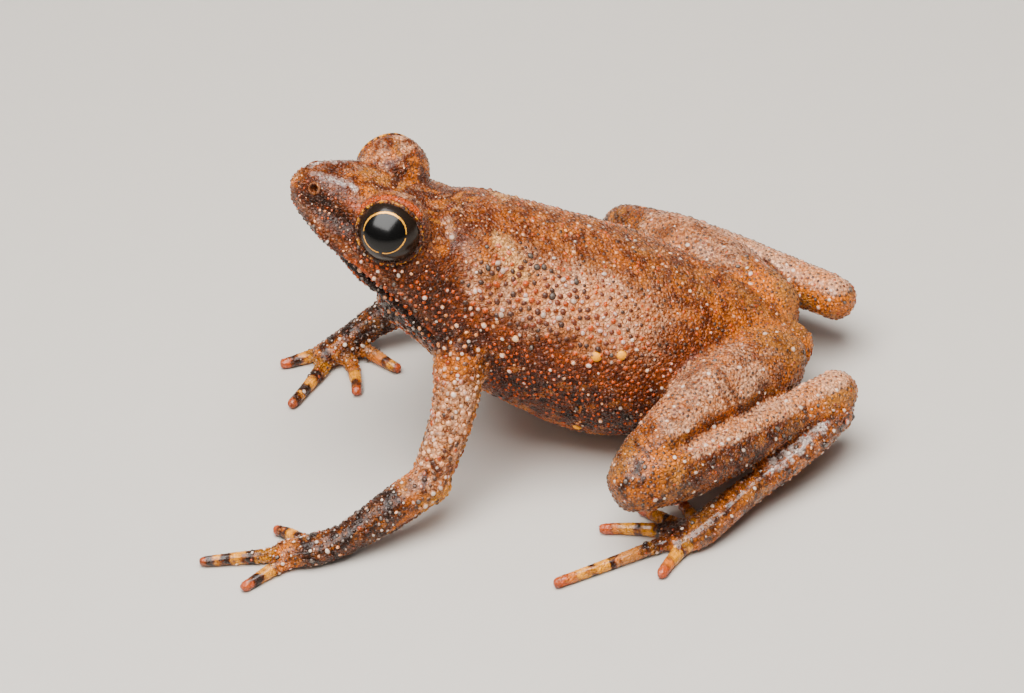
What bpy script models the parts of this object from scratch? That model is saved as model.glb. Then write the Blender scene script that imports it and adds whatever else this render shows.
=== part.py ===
"""A tiny Amazonian toad, sitting alert on the floor with its head raised.

The toad faces -Y and its left side is +X. Sizes below are in millimetres, as a
vet would measure them, and MM turns them into metres. The floor is at z = 0.
Each part of the body is one closed solid. The parts meet face to face across a
thin gap, as the pieces of a museum model do before they are painted.
"""

import math

import bmesh
import bpy
from mathutils import Matrix, Vector

MM = 0.001

# Gaps between neighbouring parts
JOINT_GAP = 0.3
EYE_GAP = 0.2

# The trunk's axis runs from the snout tip to the vent
SNOUT_TIP = Vector((0.0, -6.70, 11.40))
TRUNK_PITCH = math.radians(28.4)
HEAD_PITCH = math.radians(36.7)
NECK_PLACE = 6.9

# Eyes
EYE_CENTRE = Vector((1.90, -3.50, 10.18))
EYE_AXIS = Vector((0.90, -0.12, 0.42)).normalized()
EYE_RADIUS = 1.04
LID_DOME_RADIUS = 1.38
LID_DOME_DEPTH = 0.25
LID_RIM_REACH = 0.62
LID_RIM_RADIUS = 1.10
LID_RIM_THICKNESS = 0.14

# Nostrils
NOSTRIL_CENTRE = Vector((0.86, -5.98, 11.47))
NOSTRIL_RADIUS = 0.17

# The far foot is set this much further back than the near one
FAR_FOOT_SHIFT = 0.05

# Trunk: place along the axis, level, half width, rise, drop
TRUNK_STATIONS = (
    (4.6, -1.50, 2.30, 2.40, 2.10),
    (6.2, -1.65, 2.85, 2.95, 2.55),
    (7.8, -1.80, 3.10, 3.25, 3.15),
    (9.6, -1.90, 3.45, 3.50, 3.35),
    (11.4, -1.90, 3.65, 3.60, 3.60),
    (13.2, -1.95, 3.75, 3.55, 3.35),
    (15.0, -1.75, 3.35, 3.15, 2.65),
    (16.8, -1.15, 2.50, 2.25, 2.05),
    (18.2, -0.50, 1.45, 1.30, 1.35),
    (19.2, -0.10, 0.70, 0.60, 0.60),
)

# Upper head: place from the snout tip, lip level, half width, rise, drop
HEAD_STATIONS = (
    (0.15, -0.10, 0.42, 0.48, 0.30),
    (0.60, -0.35, 0.95, 1.18, 0.45),
    (1.60, -0.60, 1.65, 1.82, 0.55),
    (2.60, -0.62, 2.20, 2.04, 0.65),
    (3.60, -0.62, 2.62, 2.14, 0.70),
    (4.80, -0.68, 2.92, 2.28, 0.85),
    (6.00, -0.95, 3.02, 2.55, 1.20),
    (7.50, -1.45, 3.00, 2.95, 1.60),
    (8.80, -1.90, 2.70, 2.90, 1.80),
)

# Lower jaw and throat: same five numbers
JAW_STATIONS = (
    (2.10, -0.84, 0.90, 0.30, 0.30),
    (2.50, -0.86, 1.60, 0.35, 0.50),
    (3.20, -0.88, 2.20, 0.40, 0.70),
    (3.90, -0.89, 2.53, 0.45, 0.80),
    (4.90, -0.94, 2.80, 0.50, 0.95),
    (6.00, -1.22, 2.92, 0.60, 1.25),
    (7.50, -1.80, 2.90, 0.80, 1.60),
    (8.80, -2.30, 2.60, 1.00, 1.80),
)

# How square the sections are: two is a plain ellipse
ROUND_SECTION = 2.0
CROWN_SECTION = 2.35
LIP_SECTION = 1.4

# Limbs: x, y, z, half width, half height of each station on the way down
LIMB_STATIONS = {
    "upper_arm_left": (
        (2.20, -1.50, 5.90, 0.95, 0.95),
        (2.90, -1.70, 5.15, 0.90, 0.88),
        (3.70, -1.96, 4.10, 0.78, 0.76),
        (4.42, -2.45, 3.00, 0.71, 0.70),
        (4.95, -3.00, 2.05, 0.68, 0.66),
    ),
    "forearm_left": (
        (5.12, -3.05, 1.78, 0.70, 0.68),
        (5.45, -3.80, 1.54, 0.70, 0.68),
        (5.90, -4.85, 1.14, 0.65, 0.65),
        (6.40, -6.10, 0.72, 0.52, 0.50),
    ),
    "upper_arm_right": (
        (-2.20, -1.50, 5.90, 0.95, 0.95),
        (-2.95, -1.50, 5.15, 0.90, 0.88),
        (-4.20, -1.50, 4.15, 0.78, 0.76),
        (-5.35, -1.60, 3.10, 0.70, 0.70),
        (-6.05, -1.80, 2.25, 0.68, 0.66),
    ),
    "forearm_right": (
        (-6.15, -1.98, 2.05, 0.68, 0.66),
        (-6.05, -3.20, 1.75, 0.68, 0.68),
        (-5.80, -4.45, 1.30, 0.62, 0.62),
        (-5.52, -5.65, 0.76, 0.50, 0.48),
    ),
    "thigh_left": (
        (1.60, 8.90, 3.00, 1.20, 1.30),
        (3.30, 7.45, 3.15, 1.35, 1.50),
        (4.60, 6.20, 3.15, 1.30, 1.45),
        (6.10, 4.90, 2.95, 1.15, 1.22),
        (7.15, 4.05, 2.75, 0.95, 1.00),
    ),
    "shank_left": (
        (7.38, 4.05, 2.70, 0.92, 0.95),
        (6.90, 5.40, 2.62, 0.95, 1.00),
        (5.80, 7.00, 2.55, 0.95, 0.98),
        (4.60, 8.60, 2.45, 0.85, 0.85),
        (3.40, 10.25, 2.42, 0.76, 0.76),
        (2.85, 11.00, 2.36, 0.78, 0.78),
    ),
    "tarsus_left": (
        (3.38, 11.00, 1.85, 0.58, 0.58),
        (4.35, 10.10, 1.60, 0.54, 0.54),
        (5.20, 9.10, 1.34, 0.52, 0.50),
        (6.00, 7.95, 1.08, 0.52, 0.48),
    ),
    "thigh_right": (
        (-1.60, 8.90, 3.00, 1.20, 1.30),
        (-3.30, 7.50, 3.20, 1.35, 1.50),
        (-4.70, 6.30, 3.25, 1.30, 1.45),
        (-6.15, 5.00, 3.05, 1.15, 1.22),
        (-7.10, 4.25, 2.84, 0.95, 1.00),
    ),
    "shank_right": (
        (-7.34, 4.25, 2.78, 0.92, 0.95),
        (-6.50, 5.85, 2.76, 0.95, 1.00),
        (-5.35, 7.55, 2.66, 0.95, 0.98),
        (-4.18, 9.40, 2.48, 0.85, 0.85),
        (-3.15, 10.95, 2.34, 0.76, 0.76),
        (-2.80, 11.36, 2.28, 0.76, 0.76),
    ),
    "tarsus_right": (
        (-3.28, 11.40, 1.78, 0.58, 0.58),
        (-4.28, 10.30, 1.56, 0.54, 0.54),
        (-5.18, 9.20, 1.32, 0.52, 0.50),
        (-6.00, 8.00, 1.07, 0.52, 0.48),
    ),
}

# Palms and soles: the same five numbers, from the wrist or ankle outwards
PALM_STATIONS = {
    "hand_left": (
        (6.40, -6.15, 0.66, 0.52, 0.52),
        (6.50, -7.20, 0.45, 0.64, 0.52),
        (6.50, -8.20, 0.35, 0.58, 0.42),
    ),
    "hand_right": (
        (-5.50, -5.70, 0.70, 0.52, 0.50),
        (-5.10, -6.35, 0.45, 0.64, 0.52),
        (-4.80, -6.95, 0.35, 0.54, 0.42),
    ),
    "foot_left": (
        (6.00, 7.95, 1.08, 0.50, 0.48),
        (6.95, 6.75, 0.78, 0.60, 0.48),
        (7.45, 5.90, 0.46, 0.66, 0.50),
        (7.65, 5.20, 0.35, 0.60, 0.40),
    ),
}
PALM_STATIONS["foot_right"] = tuple(
    (-x, y + FAR_FOOT_SHIFT, z, wide, tall) for x, y, z, wide, tall in PALM_STATIONS["foot_left"]
)

# Digits: x, y of the root, the knuckle, the middle and the tip of each
DIGIT_PATHS = {
    "hand_left": (
        ((6.20, -6.70), (5.92, -6.92), (5.68, -7.10), (5.46, -7.26)),
        ((6.20, -7.10), (5.67, -7.68), (5.15, -8.20), (4.90, -8.55)),
        ((6.45, -7.60), (6.36, -9.05), (6.30, -10.20), (6.27, -11.05)),
        ((6.70, -7.60), (6.99, -8.46), (7.52, -9.18), (7.85, -9.60)),
    ),
    "hand_right": (
        ((-5.15, -5.90), (-4.75, -5.25), (-4.20, -4.70), (-3.90, -4.40)),
        ((-4.90, -6.25), (-4.20, -6.00), (-3.30, -5.85), (-2.75, -5.83)),
        ((-4.90, -6.70), (-4.10, -7.10), (-3.20, -7.62), (-2.35, -8.12)),
        ((-5.15, -6.70), (-5.06, -7.35), (-4.88, -8.05), (-4.80, -8.45)),
    ),
    "foot_left": (
        ((7.05, 5.95), (6.45, 5.80), (5.85, 5.58), (5.50, 5.45)),
        ((7.25, 5.55), (6.55, 5.00), (5.95, 4.40), (5.60, 4.05)),
        ((7.40, 5.25), (6.90, 4.45), (6.60, 3.50), (6.46, 2.70)),
        ((7.60, 5.25), (7.80, 4.40), (8.40, 2.90), (9.18, 1.05)),
        ((7.70, 5.80), (8.02, 5.35), (8.70, 4.85), (9.18, 4.58)),
    ),
}
DIGIT_PATHS["foot_right"] = tuple(
    tuple((-x, y + FAR_FOOT_SHIFT) for x, y in path) for path in DIGIT_PATHS["foot_left"]
)
DIGIT_HEIGHTS = (0.40, 0.31, 0.21, 0.19)
DIGIT_RADII = (0.30, 0.29, 0.26, 0.24)

# What each limb piece meets and is cut clear of, from the body outwards
LIMB_CHAIN = (
    ("upper_arm_left", ("trunk",)),
    ("forearm_left", ("upper_arm_left",)),
    ("hand_left", ("forearm_left",)),
    ("upper_arm_right", ("trunk",)),
    ("forearm_right", ("upper_arm_right",)),
    ("hand_right", ("forearm_right",)),
    ("thigh_left", ("trunk",)),
    ("shank_left", ("trunk", "thigh_left")),
    ("tarsus_left", ("thigh_left", "shank_left")),
    ("foot_left", ("shank_left", "tarsus_left")),
    ("thigh_right", ("trunk",)),
    ("shank_right", ("trunk", "thigh_right")),
    ("tarsus_right", ("thigh_right", "shank_right")),
    ("foot_right", ("shank_right", "tarsus_right")),
)

# Resolution of the lofts, balls and rings
BODY_SIDES = 28
LIMB_SIDES = 14
DIGIT_SIDES = 8
BODY_STEPS = 2
LIMB_STEPS = 3
DIGIT_STEPS = 2
CAP_STEPS = 3
BALL_SIDES = 18
BALL_RINGS = 12
NOSTRIL_SIDES = 10
NOSTRIL_RINGS = 6
RIM_AROUND = 24
RIM_ACROSS = 6

# How far a body form's rounded end reaches, as a share of its last section
END_REACH = 0.5

# Size of the blocks that part the body, and the shortest edge that is kept
BLOCK_SIZE = 60.0
SHORTEST_EDGE = 0.0015

# Colour, roughness of each kind of surface
FINISHES = {
    "back_skin": ((0.30, 0.115, 0.05), 0.42),
    "limb_skin": ((0.42, 0.17, 0.065), 0.40),
    "digit_skin": ((0.62, 0.30, 0.07), 0.38),
    "eye_gloss": ((0.012, 0.010, 0.010), 0.06),
}


def clear_scene():
    for old in list(bpy.data.objects):
        bpy.data.objects.remove(old, do_unlink=True)


def new_collection(name):
    collection = bpy.data.collections.new(name)
    bpy.context.scene.collection.children.link(collection)
    return collection


def make_finish(name):
    """A plain painted finish for one kind of surface."""
    colour, roughness = FINISHES[name]
    material = bpy.data.materials.new(name)
    material.use_nodes = True
    shader = material.node_tree.nodes["Principled BSDF"]
    shader.inputs["Base Color"].default_value = (*colour, 1.0)
    shader.inputs["Roughness"].default_value = roughness
    shader.inputs["Metallic"].default_value = 0.0
    material.diffuse_color = (*colour, 1.0)
    return material


def new_object(name, builder, collection):
    """Turn a bmesh in millimetres into an object in metres."""
    bmesh.ops.recalc_face_normals(builder, faces=builder.faces)
    bmesh.ops.scale(builder, vec=(MM, MM, MM), verts=builder.verts)
    mesh = bpy.data.meshes.new(name)
    builder.to_mesh(mesh)
    builder.free()
    piece = bpy.data.objects.new(name, mesh)
    collection.objects.link(piece)
    return piece


def spline(stations, steps):
    """Smooth rows of numbers between the stations, each with its slope along the way."""
    rows = [Vector(station) for station in stations]
    first = rows[0] * 2 - rows[1]
    last = rows[-1] * 2 - rows[-2]
    rows = [first] + rows + [last]
    smooth = []
    for k in range(1, len(rows) - 2):
        before, start, end, after = rows[k - 1:k + 3]
        for j in range(steps):
            t = j / steps
            bend = (before * -1 + start * 3 - end * 3 + after) * (t ** 3)
            bow = (before * 2 - start * 5 + end * 4 - after) * (t ** 2)
            smooth.append((start * 2 + (end - before) * t + bow + bend) * 0.5)
    smooth.append(rows[-2])
    return smooth


def section(centre, side, up, half_width, rise, drop, top_power, low_power, count):
    """One closed ring of points: an ellipse, or a squarer or leaner cousin of it."""
    ring = []
    for k in range(count):
        angle = 2 * math.pi * k / count
        c = math.cos(angle)
        s = math.sin(angle)
        power = top_power if s >= 0 else low_power
        height = rise if s >= 0 else drop
        across = math.copysign(abs(c) ** (2 / power), c) * half_width
        above = math.copysign(abs(s) ** (2 / power), s) * height
        ring.append(centre + side * across + up * above)
    return ring


def loft(name, rings, start_pole, end_pole, collection):
    """Skin a row of rings and close both ends on a pole."""
    builder = bmesh.new()
    rows = [[builder.verts.new(point) for point in ring] for ring in rings]
    count = len(rows[0])
    for near_row, far_row in zip(rows, rows[1:]):
        for k in range(count):
            j = (k + 1) % count
            builder.faces.new((near_row[k], near_row[j], far_row[j], far_row[k]))
    for row, pole in ((rows[0], start_pole), (rows[-1], end_pole)):
        tip = builder.verts.new(pole)
        for k in range(count):
            builder.faces.new((row[k], row[(k + 1) % count], tip))
    bmesh.ops.triangulate(builder, faces=builder.faces)
    return new_object(name, builder, collection)


def body_form(name, pitch, stations, top_power, low_power, collection, grow=0.0):
    """A form lofted along an axis that starts at the snout tip and slopes down."""
    along = Vector((0.0, math.cos(pitch), -math.sin(pitch)))
    up = Vector((0.0, math.sin(pitch), math.cos(pitch)))
    side = Vector((1.0, 0.0, 0.0))
    rings = []
    rows = spline(stations, BODY_STEPS)
    for place, level, half_width, rise, drop in rows:
        centre = SNOUT_TIP + along * place + up * level
        ring = section(centre, side, up, half_width + grow, rise + grow, drop + grow,
                       top_power, low_power, BODY_SIDES)
        rings.append(ring)
    tips = []
    for row, sign in ((rows[0], -1), (rows[-1], 1)):
        reach = min(row[2], row[3]) * END_REACH + grow
        tips.append(SNOUT_TIP + along * (row[0] + sign * reach) + up * row[1])
    return loft(name, rings, tips[0], tips[1], collection)


def limb_form(name, stations, collection, sides=LIMB_SIDES, steps=LIMB_STEPS, grow=0.0):
    """A limb segment: elliptical sections along a smooth path, with rounded ends."""
    rows = spline(stations, steps)
    places = [Vector(row[:3]) for row in rows]
    frames = []
    for k, place in enumerate(places):
        before = places[max(k - 1, 0)]
        after = places[min(k + 1, len(places) - 1)]
        along = (after - before).normalized()
        side = along.cross(Vector((0.0, 0.0, 1.0))).normalized()
        frames.append((along, side, side.cross(along)))
    rings = []
    poles = []
    for sign, index in ((-1, 0), (1, len(rows) - 1)):
        along, side, up = frames[index]
        half_width = rows[index][3] + grow
        half_height = rows[index][4] + grow
        reach = 0.5 * (half_width + half_height)
        cap = []
        for k in range(1, CAP_STEPS):
            angle = 0.5 * math.pi * k / CAP_STEPS
            centre = places[index] + along * (sign * reach * math.sin(angle))
            wide = half_width * math.cos(angle)
            tall = half_height * math.cos(angle)
            cap.append(section(centre, side, up, wide, tall, tall,
                               ROUND_SECTION, ROUND_SECTION, sides))
        poles.append(places[index] + along * (sign * reach))
        if sign < 0:
            rings.extend(reversed(cap))
            for row, place, frame in zip(rows, places, frames):
                rings.append(section(place, frame[1], frame[2], row[3] + grow, row[4] + grow,
                                     row[4] + grow, ROUND_SECTION, ROUND_SECTION, sides))
        else:
            rings.extend(cap)
    return loft(name, rings, poles[0], poles[1], collection)


def digit_form(name, path, collection, grow=0.0):
    """A finger or toe that lies along the floor."""
    stations = []
    for (x, y), height, radius in zip(path, DIGIT_HEIGHTS, DIGIT_RADII):
        stations.append((x, y, height, radius, radius))
    return limb_form(name, stations, collection, DIGIT_SIDES, DIGIT_STEPS, grow)


def ball(name, centre, radius, collection, sides=BALL_SIDES, rings=BALL_RINGS):
    """A plain ball."""
    builder = bmesh.new()
    bmesh.ops.create_uvsphere(builder, u_segments=sides, v_segments=rings, radius=radius)
    bmesh.ops.translate(builder, vec=centre, verts=builder.verts)
    return new_object(name, builder, collection)


def rim_ring(name, centre, axis, radius, thickness, collection):
    """A rounded ring, square to an axis: the edge of the eyelids."""
    side = axis.cross(Vector((0.0, 0.0, 1.0))).normalized()
    up = side.cross(axis)
    builder = bmesh.new()
    rows = []
    for k in range(RIM_AROUND):
        angle = 2 * math.pi * k / RIM_AROUND
        outward = side * math.cos(angle) + up * math.sin(angle)
        ring = section(centre + outward * radius, outward, axis, thickness, thickness, thickness,
                       ROUND_SECTION, ROUND_SECTION, RIM_ACROSS)
        rows.append([builder.verts.new(point) for point in ring])
    for k in range(RIM_AROUND):
        near_row = rows[k]
        far_row = rows[(k + 1) % RIM_AROUND]
        for j in range(RIM_ACROSS):
            i = (j + 1) % RIM_ACROSS
            builder.faces.new((near_row[j], near_row[i], far_row[i], far_row[j]))
    return new_object(name, builder, collection)


def half_space(name, point, direction, collection):
    """A large block whose face passes through a point, on the side of a direction."""
    builder = bmesh.new()
    bmesh.ops.create_cube(builder, size=BLOCK_SIZE)
    turn = direction.to_track_quat("Z", "Y").to_matrix().to_4x4()
    shift = Matrix.Translation(point + direction * (BLOCK_SIZE / 2))
    bmesh.ops.transform(builder, matrix=shift @ turn, verts=builder.verts)
    return new_object(name, builder, collection)


def copy_of(piece, name, collection):
    twin = bpy.data.objects.new(name, piece.data.copy())
    collection.objects.link(twin)
    return twin


def apply_modifiers(piece):
    """Replace a piece's mesh by what its modifiers make of it."""
    graph = bpy.context.evaluated_depsgraph_get()
    result = bpy.data.meshes.new_from_object(piece.evaluated_get(graph))
    piece.modifiers.clear()
    piece.data = result


def keep_largest_body(piece):
    """Keep only the largest closed surface, so that a node is one body."""
    builder = bmesh.new()
    builder.from_mesh(piece.data)
    bmesh.ops.dissolve_degenerate(builder, dist=SHORTEST_EDGE * MM, edges=builder.edges)
    bmesh.ops.triangulate(builder, faces=builder.faces)
    unseen = set(builder.verts)
    bodies = []
    while unseen:
        front = [unseen.pop()]
        body = set(front)
        while front:
            vertex = front.pop()
            for edge in vertex.link_edges:
                other = edge.other_vert(vertex)
                if other in unseen:
                    unseen.remove(other)
                    body.add(other)
                    front.append(other)
        bodies.append(body)
    bodies.sort(key=len, reverse=True)
    scraps = [vertex for body in bodies[1:] for vertex in body]
    bmesh.ops.delete(builder, geom=scraps, context="VERTS")
    builder.to_mesh(piece.data)
    builder.free()


def fuse(name, pieces):
    """Join closed pieces into one body."""
    target = pieces[0]
    extra = new_collection("join_" + name)
    for piece in pieces[1:]:
        for home in list(piece.users_collection):
            home.objects.unlink(piece)
        extra.objects.link(piece)
    union = target.modifiers.new("union", "BOOLEAN")
    union.operation = "UNION"
    union.operand_type = "COLLECTION"
    union.collection = extra
    union.solver = "EXACT"
    apply_modifiers(target)
    for piece in list(extra.objects):
        bpy.data.objects.remove(piece, do_unlink=True)
    bpy.data.collections.remove(extra)
    keep_largest_body(target)
    target.name = name
    return target


def carve(piece, cutters):
    """Cut a piece clear of each cutter."""
    for cutter in cutters:
        cut = piece.modifiers.new("cut", "BOOLEAN")
        cut.operation = "DIFFERENCE"
        cut.object = cutter
        cut.solver = "EXACT"
        apply_modifiers(piece)
    keep_largest_body(piece)


def mirrored(vector, sign):
    return Vector((vector.x * sign, vector.y, vector.z))


def trunk_forms(prefix, collection, grow=0.0):
    """The trunk, upper head and lower jaw that make the whole body between the limbs."""
    return [
        body_form(prefix + "_trunk", TRUNK_PITCH, TRUNK_STATIONS,
                  ROUND_SECTION, ROUND_SECTION, collection, grow),
        body_form(prefix + "_crown", HEAD_PITCH, HEAD_STATIONS,
                  CROWN_SECTION, LIP_SECTION, collection, grow),
        body_form(prefix + "_jaw", HEAD_PITCH, JAW_STATIONS,
                  ROUND_SECTION, ROUND_SECTION, collection, grow),
    ]


def make_body(parts, cutters):
    """Head and torso are modelled whole, then parted at the neck."""
    whole = fuse("torso", trunk_forms("whole", cutters))
    head = copy_of(whole, "head", parts)
    cutters.objects.unlink(whole)
    parts.objects.link(whole)
    along = Vector((0.0, math.cos(TRUNK_PITCH), -math.sin(TRUNK_PITCH)))
    neck = SNOUT_TIP + along * NECK_PLACE
    half_gap = along * (JOINT_GAP / 2)
    front = half_space("cut_front", neck + half_gap, along * -1, cutters)
    rear = half_space("cut_rear", neck - half_gap, along, cutters)
    floor = half_space("cut_floor", Vector((0.0, 0.0, 0.0)), Vector((0.0, 0.0, -1.0)), cutters)
    carve(whole, [front, floor])
    carve(head, [rear])
    return head, whole, floor


def dress_head(head, parts, cutters):
    """Add the eyelids, then cut the eye sockets and nostrils."""
    lids = []
    sockets = []
    for side, sign in (("left", 1), ("right", -1)):
        centre = mirrored(EYE_CENTRE, sign)
        axis = mirrored(EYE_AXIS, sign)
        lids.append(ball("dome_" + side, centre - axis * LID_DOME_DEPTH, LID_DOME_RADIUS, parts))
        lids.append(rim_ring("rim_" + side, centre + axis * LID_RIM_REACH, axis,
                             LID_RIM_RADIUS, LID_RIM_THICKNESS, parts))
        sockets.append(ball("socket_" + side, centre, EYE_RADIUS + EYE_GAP, cutters))
        sockets.append(ball("nostril_cut_" + side, mirrored(NOSTRIL_CENTRE, sign),
                            NOSTRIL_RADIUS, cutters, NOSTRIL_SIDES, NOSTRIL_RINGS))
    head = fuse("head", [head] + lids)
    carve(head, sockets)
    return head


def make_eye(side, sign, parts):
    return ball("eye_" + side, mirrored(EYE_CENTRE, sign), EYE_RADIUS, parts)


def limb_pieces(name, collection, grow=0.0):
    """The loose pieces of one limb segment, a hand or foot with its digits."""
    if name in LIMB_STATIONS:
        return [limb_form(name, LIMB_STATIONS[name], collection, grow=grow)]
    pieces = [limb_form(name, PALM_STATIONS[name], collection, grow=grow)]
    for number, path in enumerate(DIGIT_PATHS[name], start=1):
        pieces.append(digit_form(f"{name}_digit_{number}", path, collection, grow))
    return pieces


def make_limbs(floor, parts, cutters):
    """Each limb piece is cut clear of a slightly grown copy of what it meets."""
    grown = {"trunk": trunk_forms("grown", cutters, JOINT_GAP)}
    limbs = []
    for name, neighbours in LIMB_CHAIN:
        pieces = limb_pieces(name, parts)
        limb = fuse(name, pieces) if len(pieces) > 1 else pieces[0]
        tools = [tool for neighbour in neighbours for tool in grown[neighbour]]
        if name in PALM_STATIONS:
            tools = tools + [floor]
        else:
            grown[name] = limb_pieces(name, cutters, JOINT_GAP)
            grown[name][0].name = "grown_" + name
            limb.name = name
        carve(limb, tools)
        limbs.append(limb)
    return limbs


def finish_of(name):
    if name.startswith("eye"):
        return "eye_gloss"
    if name.startswith(("hand", "foot")):
        return "digit_skin"
    if name in ("head", "torso"):
        return "back_skin"
    return "limb_skin"


def settle(nodes, parts):
    """Hang the parts on one stand whose place puts the box's bottom centre at the origin."""
    corners = [vertex.co for node in nodes for vertex in node.data.vertices]
    middle_x = (min(c.x for c in corners) + max(c.x for c in corners)) / 2
    middle_y = (min(c.y for c in corners) + max(c.y for c in corners)) / 2
    lowest = min(c.z for c in corners)
    stand = bpy.data.objects.new("toad_stand", None)
    stand.location = (-middle_x, -middle_y, -lowest)
    parts.objects.link(stand)
    for node in nodes:
        node.parent = stand


def main():
    clear_scene()
    parts = new_collection("tiny_toad")
    cutters = new_collection("cutters")
    head, torso, floor = make_body(parts, cutters)
    head = dress_head(head, parts, cutters)
    eyes = [make_eye("left", 1, parts), make_eye("right", -1, parts)]
    nodes = [head, torso] + eyes + make_limbs(floor, parts, cutters)
    finishes = {name: make_finish(name) for name in FINISHES}
    for node in nodes:
        node.data.materials.clear()
        node.data.materials.append(finishes[finish_of(node.name)])
        node.data.shade_smooth()
    for cutter in cutters.objects:
        cutter.hide_render = True
        cutter.display_type = "WIRE"
    settle(nodes, parts)


main()
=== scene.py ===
# %% [markdown]
# A tiny toad, sitting alert
#
# This lesson dresses a life-size model of a toad that is under 20 mm long. A carrier of plain
# solids already stands in the scene, and says where each part of the body is. We build one
# continuous skin over it, then thousands of separate granules, then two wet eyes. Sizes are
# written in millimetres, in the toad's own frame: it faces -Y, its left side is +X and the floor
# is at z = 0. One number, MM, turns them into metres at the end.

# %% Load the carrier
import math

import bmesh
import bpy
import numpy as np
from mathutils import Matrix, Vector, kdtree


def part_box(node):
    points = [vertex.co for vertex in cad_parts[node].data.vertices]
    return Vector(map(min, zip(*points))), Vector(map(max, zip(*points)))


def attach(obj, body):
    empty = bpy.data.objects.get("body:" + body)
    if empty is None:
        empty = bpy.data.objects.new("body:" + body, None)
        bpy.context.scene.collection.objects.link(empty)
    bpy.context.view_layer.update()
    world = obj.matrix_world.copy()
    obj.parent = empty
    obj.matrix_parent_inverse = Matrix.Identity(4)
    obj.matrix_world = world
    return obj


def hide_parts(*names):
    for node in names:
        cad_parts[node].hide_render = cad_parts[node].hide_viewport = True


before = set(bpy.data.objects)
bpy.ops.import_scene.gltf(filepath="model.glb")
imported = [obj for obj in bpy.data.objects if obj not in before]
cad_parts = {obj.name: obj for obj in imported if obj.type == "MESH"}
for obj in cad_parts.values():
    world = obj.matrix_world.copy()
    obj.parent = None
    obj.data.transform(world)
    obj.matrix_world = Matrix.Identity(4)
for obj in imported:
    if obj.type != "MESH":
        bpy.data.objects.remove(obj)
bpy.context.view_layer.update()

MM = 0.001
EYE_CENTRE = np.array((1.90, -3.50, 10.18))
low_corner, high_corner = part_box("eye_left")
STAND_SHIFT = [(low + high) / 2 - place * MM
               for low, high, place in zip(low_corner, high_corner, EYE_CENTRE)]
print("the carrier stands", [round(value / MM, 3) for value in STAND_SHIFT], "mm off the toad's own frame")

# %% [markdown]
# The camera
#
# A close-up of something this small is taken from a little distance with a long lens, so the
# far limbs look almost as big as the near ones. The camera looks at the toad's left side from
# above, and leans a few degrees to one side. A lens is described here as pixels per millimetre
# at the toad, because that is what can be measured on a picture.

# %% Camera
CAMERA_TURN = math.radians(93.0)
CAMERA_RISE = math.radians(36.0)
CAMERA_ROLL = math.radians(-7.0)
CAMERA_TARGET = Vector((0.0, 0.0, 3.5))
CAMERA_DISTANCE = 190.0
IMAGE_WIDTH = 1024
PIXELS_PER_MM = 28.75
SENSOR_WIDTH = 36.0


def to_world(place):
    """A place in the toad's own millimetres, in the scene's metres."""
    return Vector([value * MM + shift for value, shift in zip(place, STAND_SHIFT)])


def camera_axes():
    """The camera's right, up and back directions, with its lean."""
    back = Vector((math.sin(CAMERA_TURN) * math.cos(CAMERA_RISE),
                   -math.cos(CAMERA_TURN) * math.cos(CAMERA_RISE), math.sin(CAMERA_RISE)))
    level_right = (-back).cross(Vector((0.0, 0.0, 1.0))).normalized()
    level_up = level_right.cross(-back)
    right = level_right * math.cos(CAMERA_ROLL) + level_up * math.sin(CAMERA_ROLL)
    up = level_up * math.cos(CAMERA_ROLL) - level_right * math.sin(CAMERA_ROLL)
    return right, up, back


def add_camera():
    right, up, back = camera_axes()
    lens = bpy.data.cameras.new("toad_camera")
    lens.sensor_width = SENSOR_WIDTH
    lens.lens = SENSOR_WIDTH * PIXELS_PER_MM * CAMERA_DISTANCE / IMAGE_WIDTH
    lens.clip_start = 0.01
    camera = bpy.data.objects.new("toad_camera", lens)
    bpy.context.scene.collection.objects.link(camera)
    turn = Matrix((right, up, back)).transposed().to_4x4()
    camera.matrix_world = Matrix.Translation(to_world(CAMERA_TARGET + back * CAMERA_DISTANCE)) @ turn
    bpy.context.scene.camera = camera
    return lens


print("lens", round(add_camera().lens, 2), "mm")

# %% [markdown]
# The toad's measures
#
# These are the sizes that the carrier was made from. The trunk and head are lofts: a row of
# cross-sections, each with its place along an axis, its level, half width, rise and drop. The
# limbs are lofts along a bent path, and the digits lie along the floor. Using the same numbers
# here keeps the skin on the carrier, and lets us ask of any point which part it belongs to.

# %% Body sections
SNOUT_TIP = np.array((0.0, -6.70, 11.40))
TRUNK_PITCH = math.radians(28.4)
HEAD_PITCH = math.radians(36.7)
EYE_AXIS = np.array((0.90, -0.12, 0.42)) / np.linalg.norm((0.90, -0.12, 0.42))
ROUND_SECTION = 2.0
CROWN_SECTION = 2.35
LIP_SECTION = 1.4

TRUNK_STATIONS = (
    (4.6, -1.50, 2.30, 2.40, 2.10), (6.2, -1.65, 2.85, 2.95, 2.55),
    (7.8, -1.80, 3.10, 3.25, 3.15), (9.6, -1.90, 3.45, 3.50, 3.35),
    (11.4, -1.90, 3.65, 3.60, 3.60), (13.2, -1.95, 3.75, 3.55, 3.35),
    (15.0, -1.75, 3.35, 3.15, 2.65), (16.8, -1.15, 2.50, 2.25, 2.05),
    (18.2, -0.50, 1.45, 1.30, 1.35), (19.2, -0.10, 0.70, 0.60, 0.60),
)
HEAD_STATIONS = (
    (0.15, -0.10, 0.42, 0.48, 0.30), (0.60, -0.35, 0.95, 1.18, 0.45),
    (1.60, -0.60, 1.65, 1.82, 0.55), (2.60, -0.62, 2.20, 2.04, 0.65),
    (3.60, -0.62, 2.62, 2.14, 0.70), (4.80, -0.68, 2.92, 2.28, 0.85),
    (6.00, -0.95, 3.02, 2.55, 1.20), (7.50, -1.45, 3.00, 2.95, 1.60),
    (8.80, -1.90, 2.70, 2.90, 1.80),
)
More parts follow.
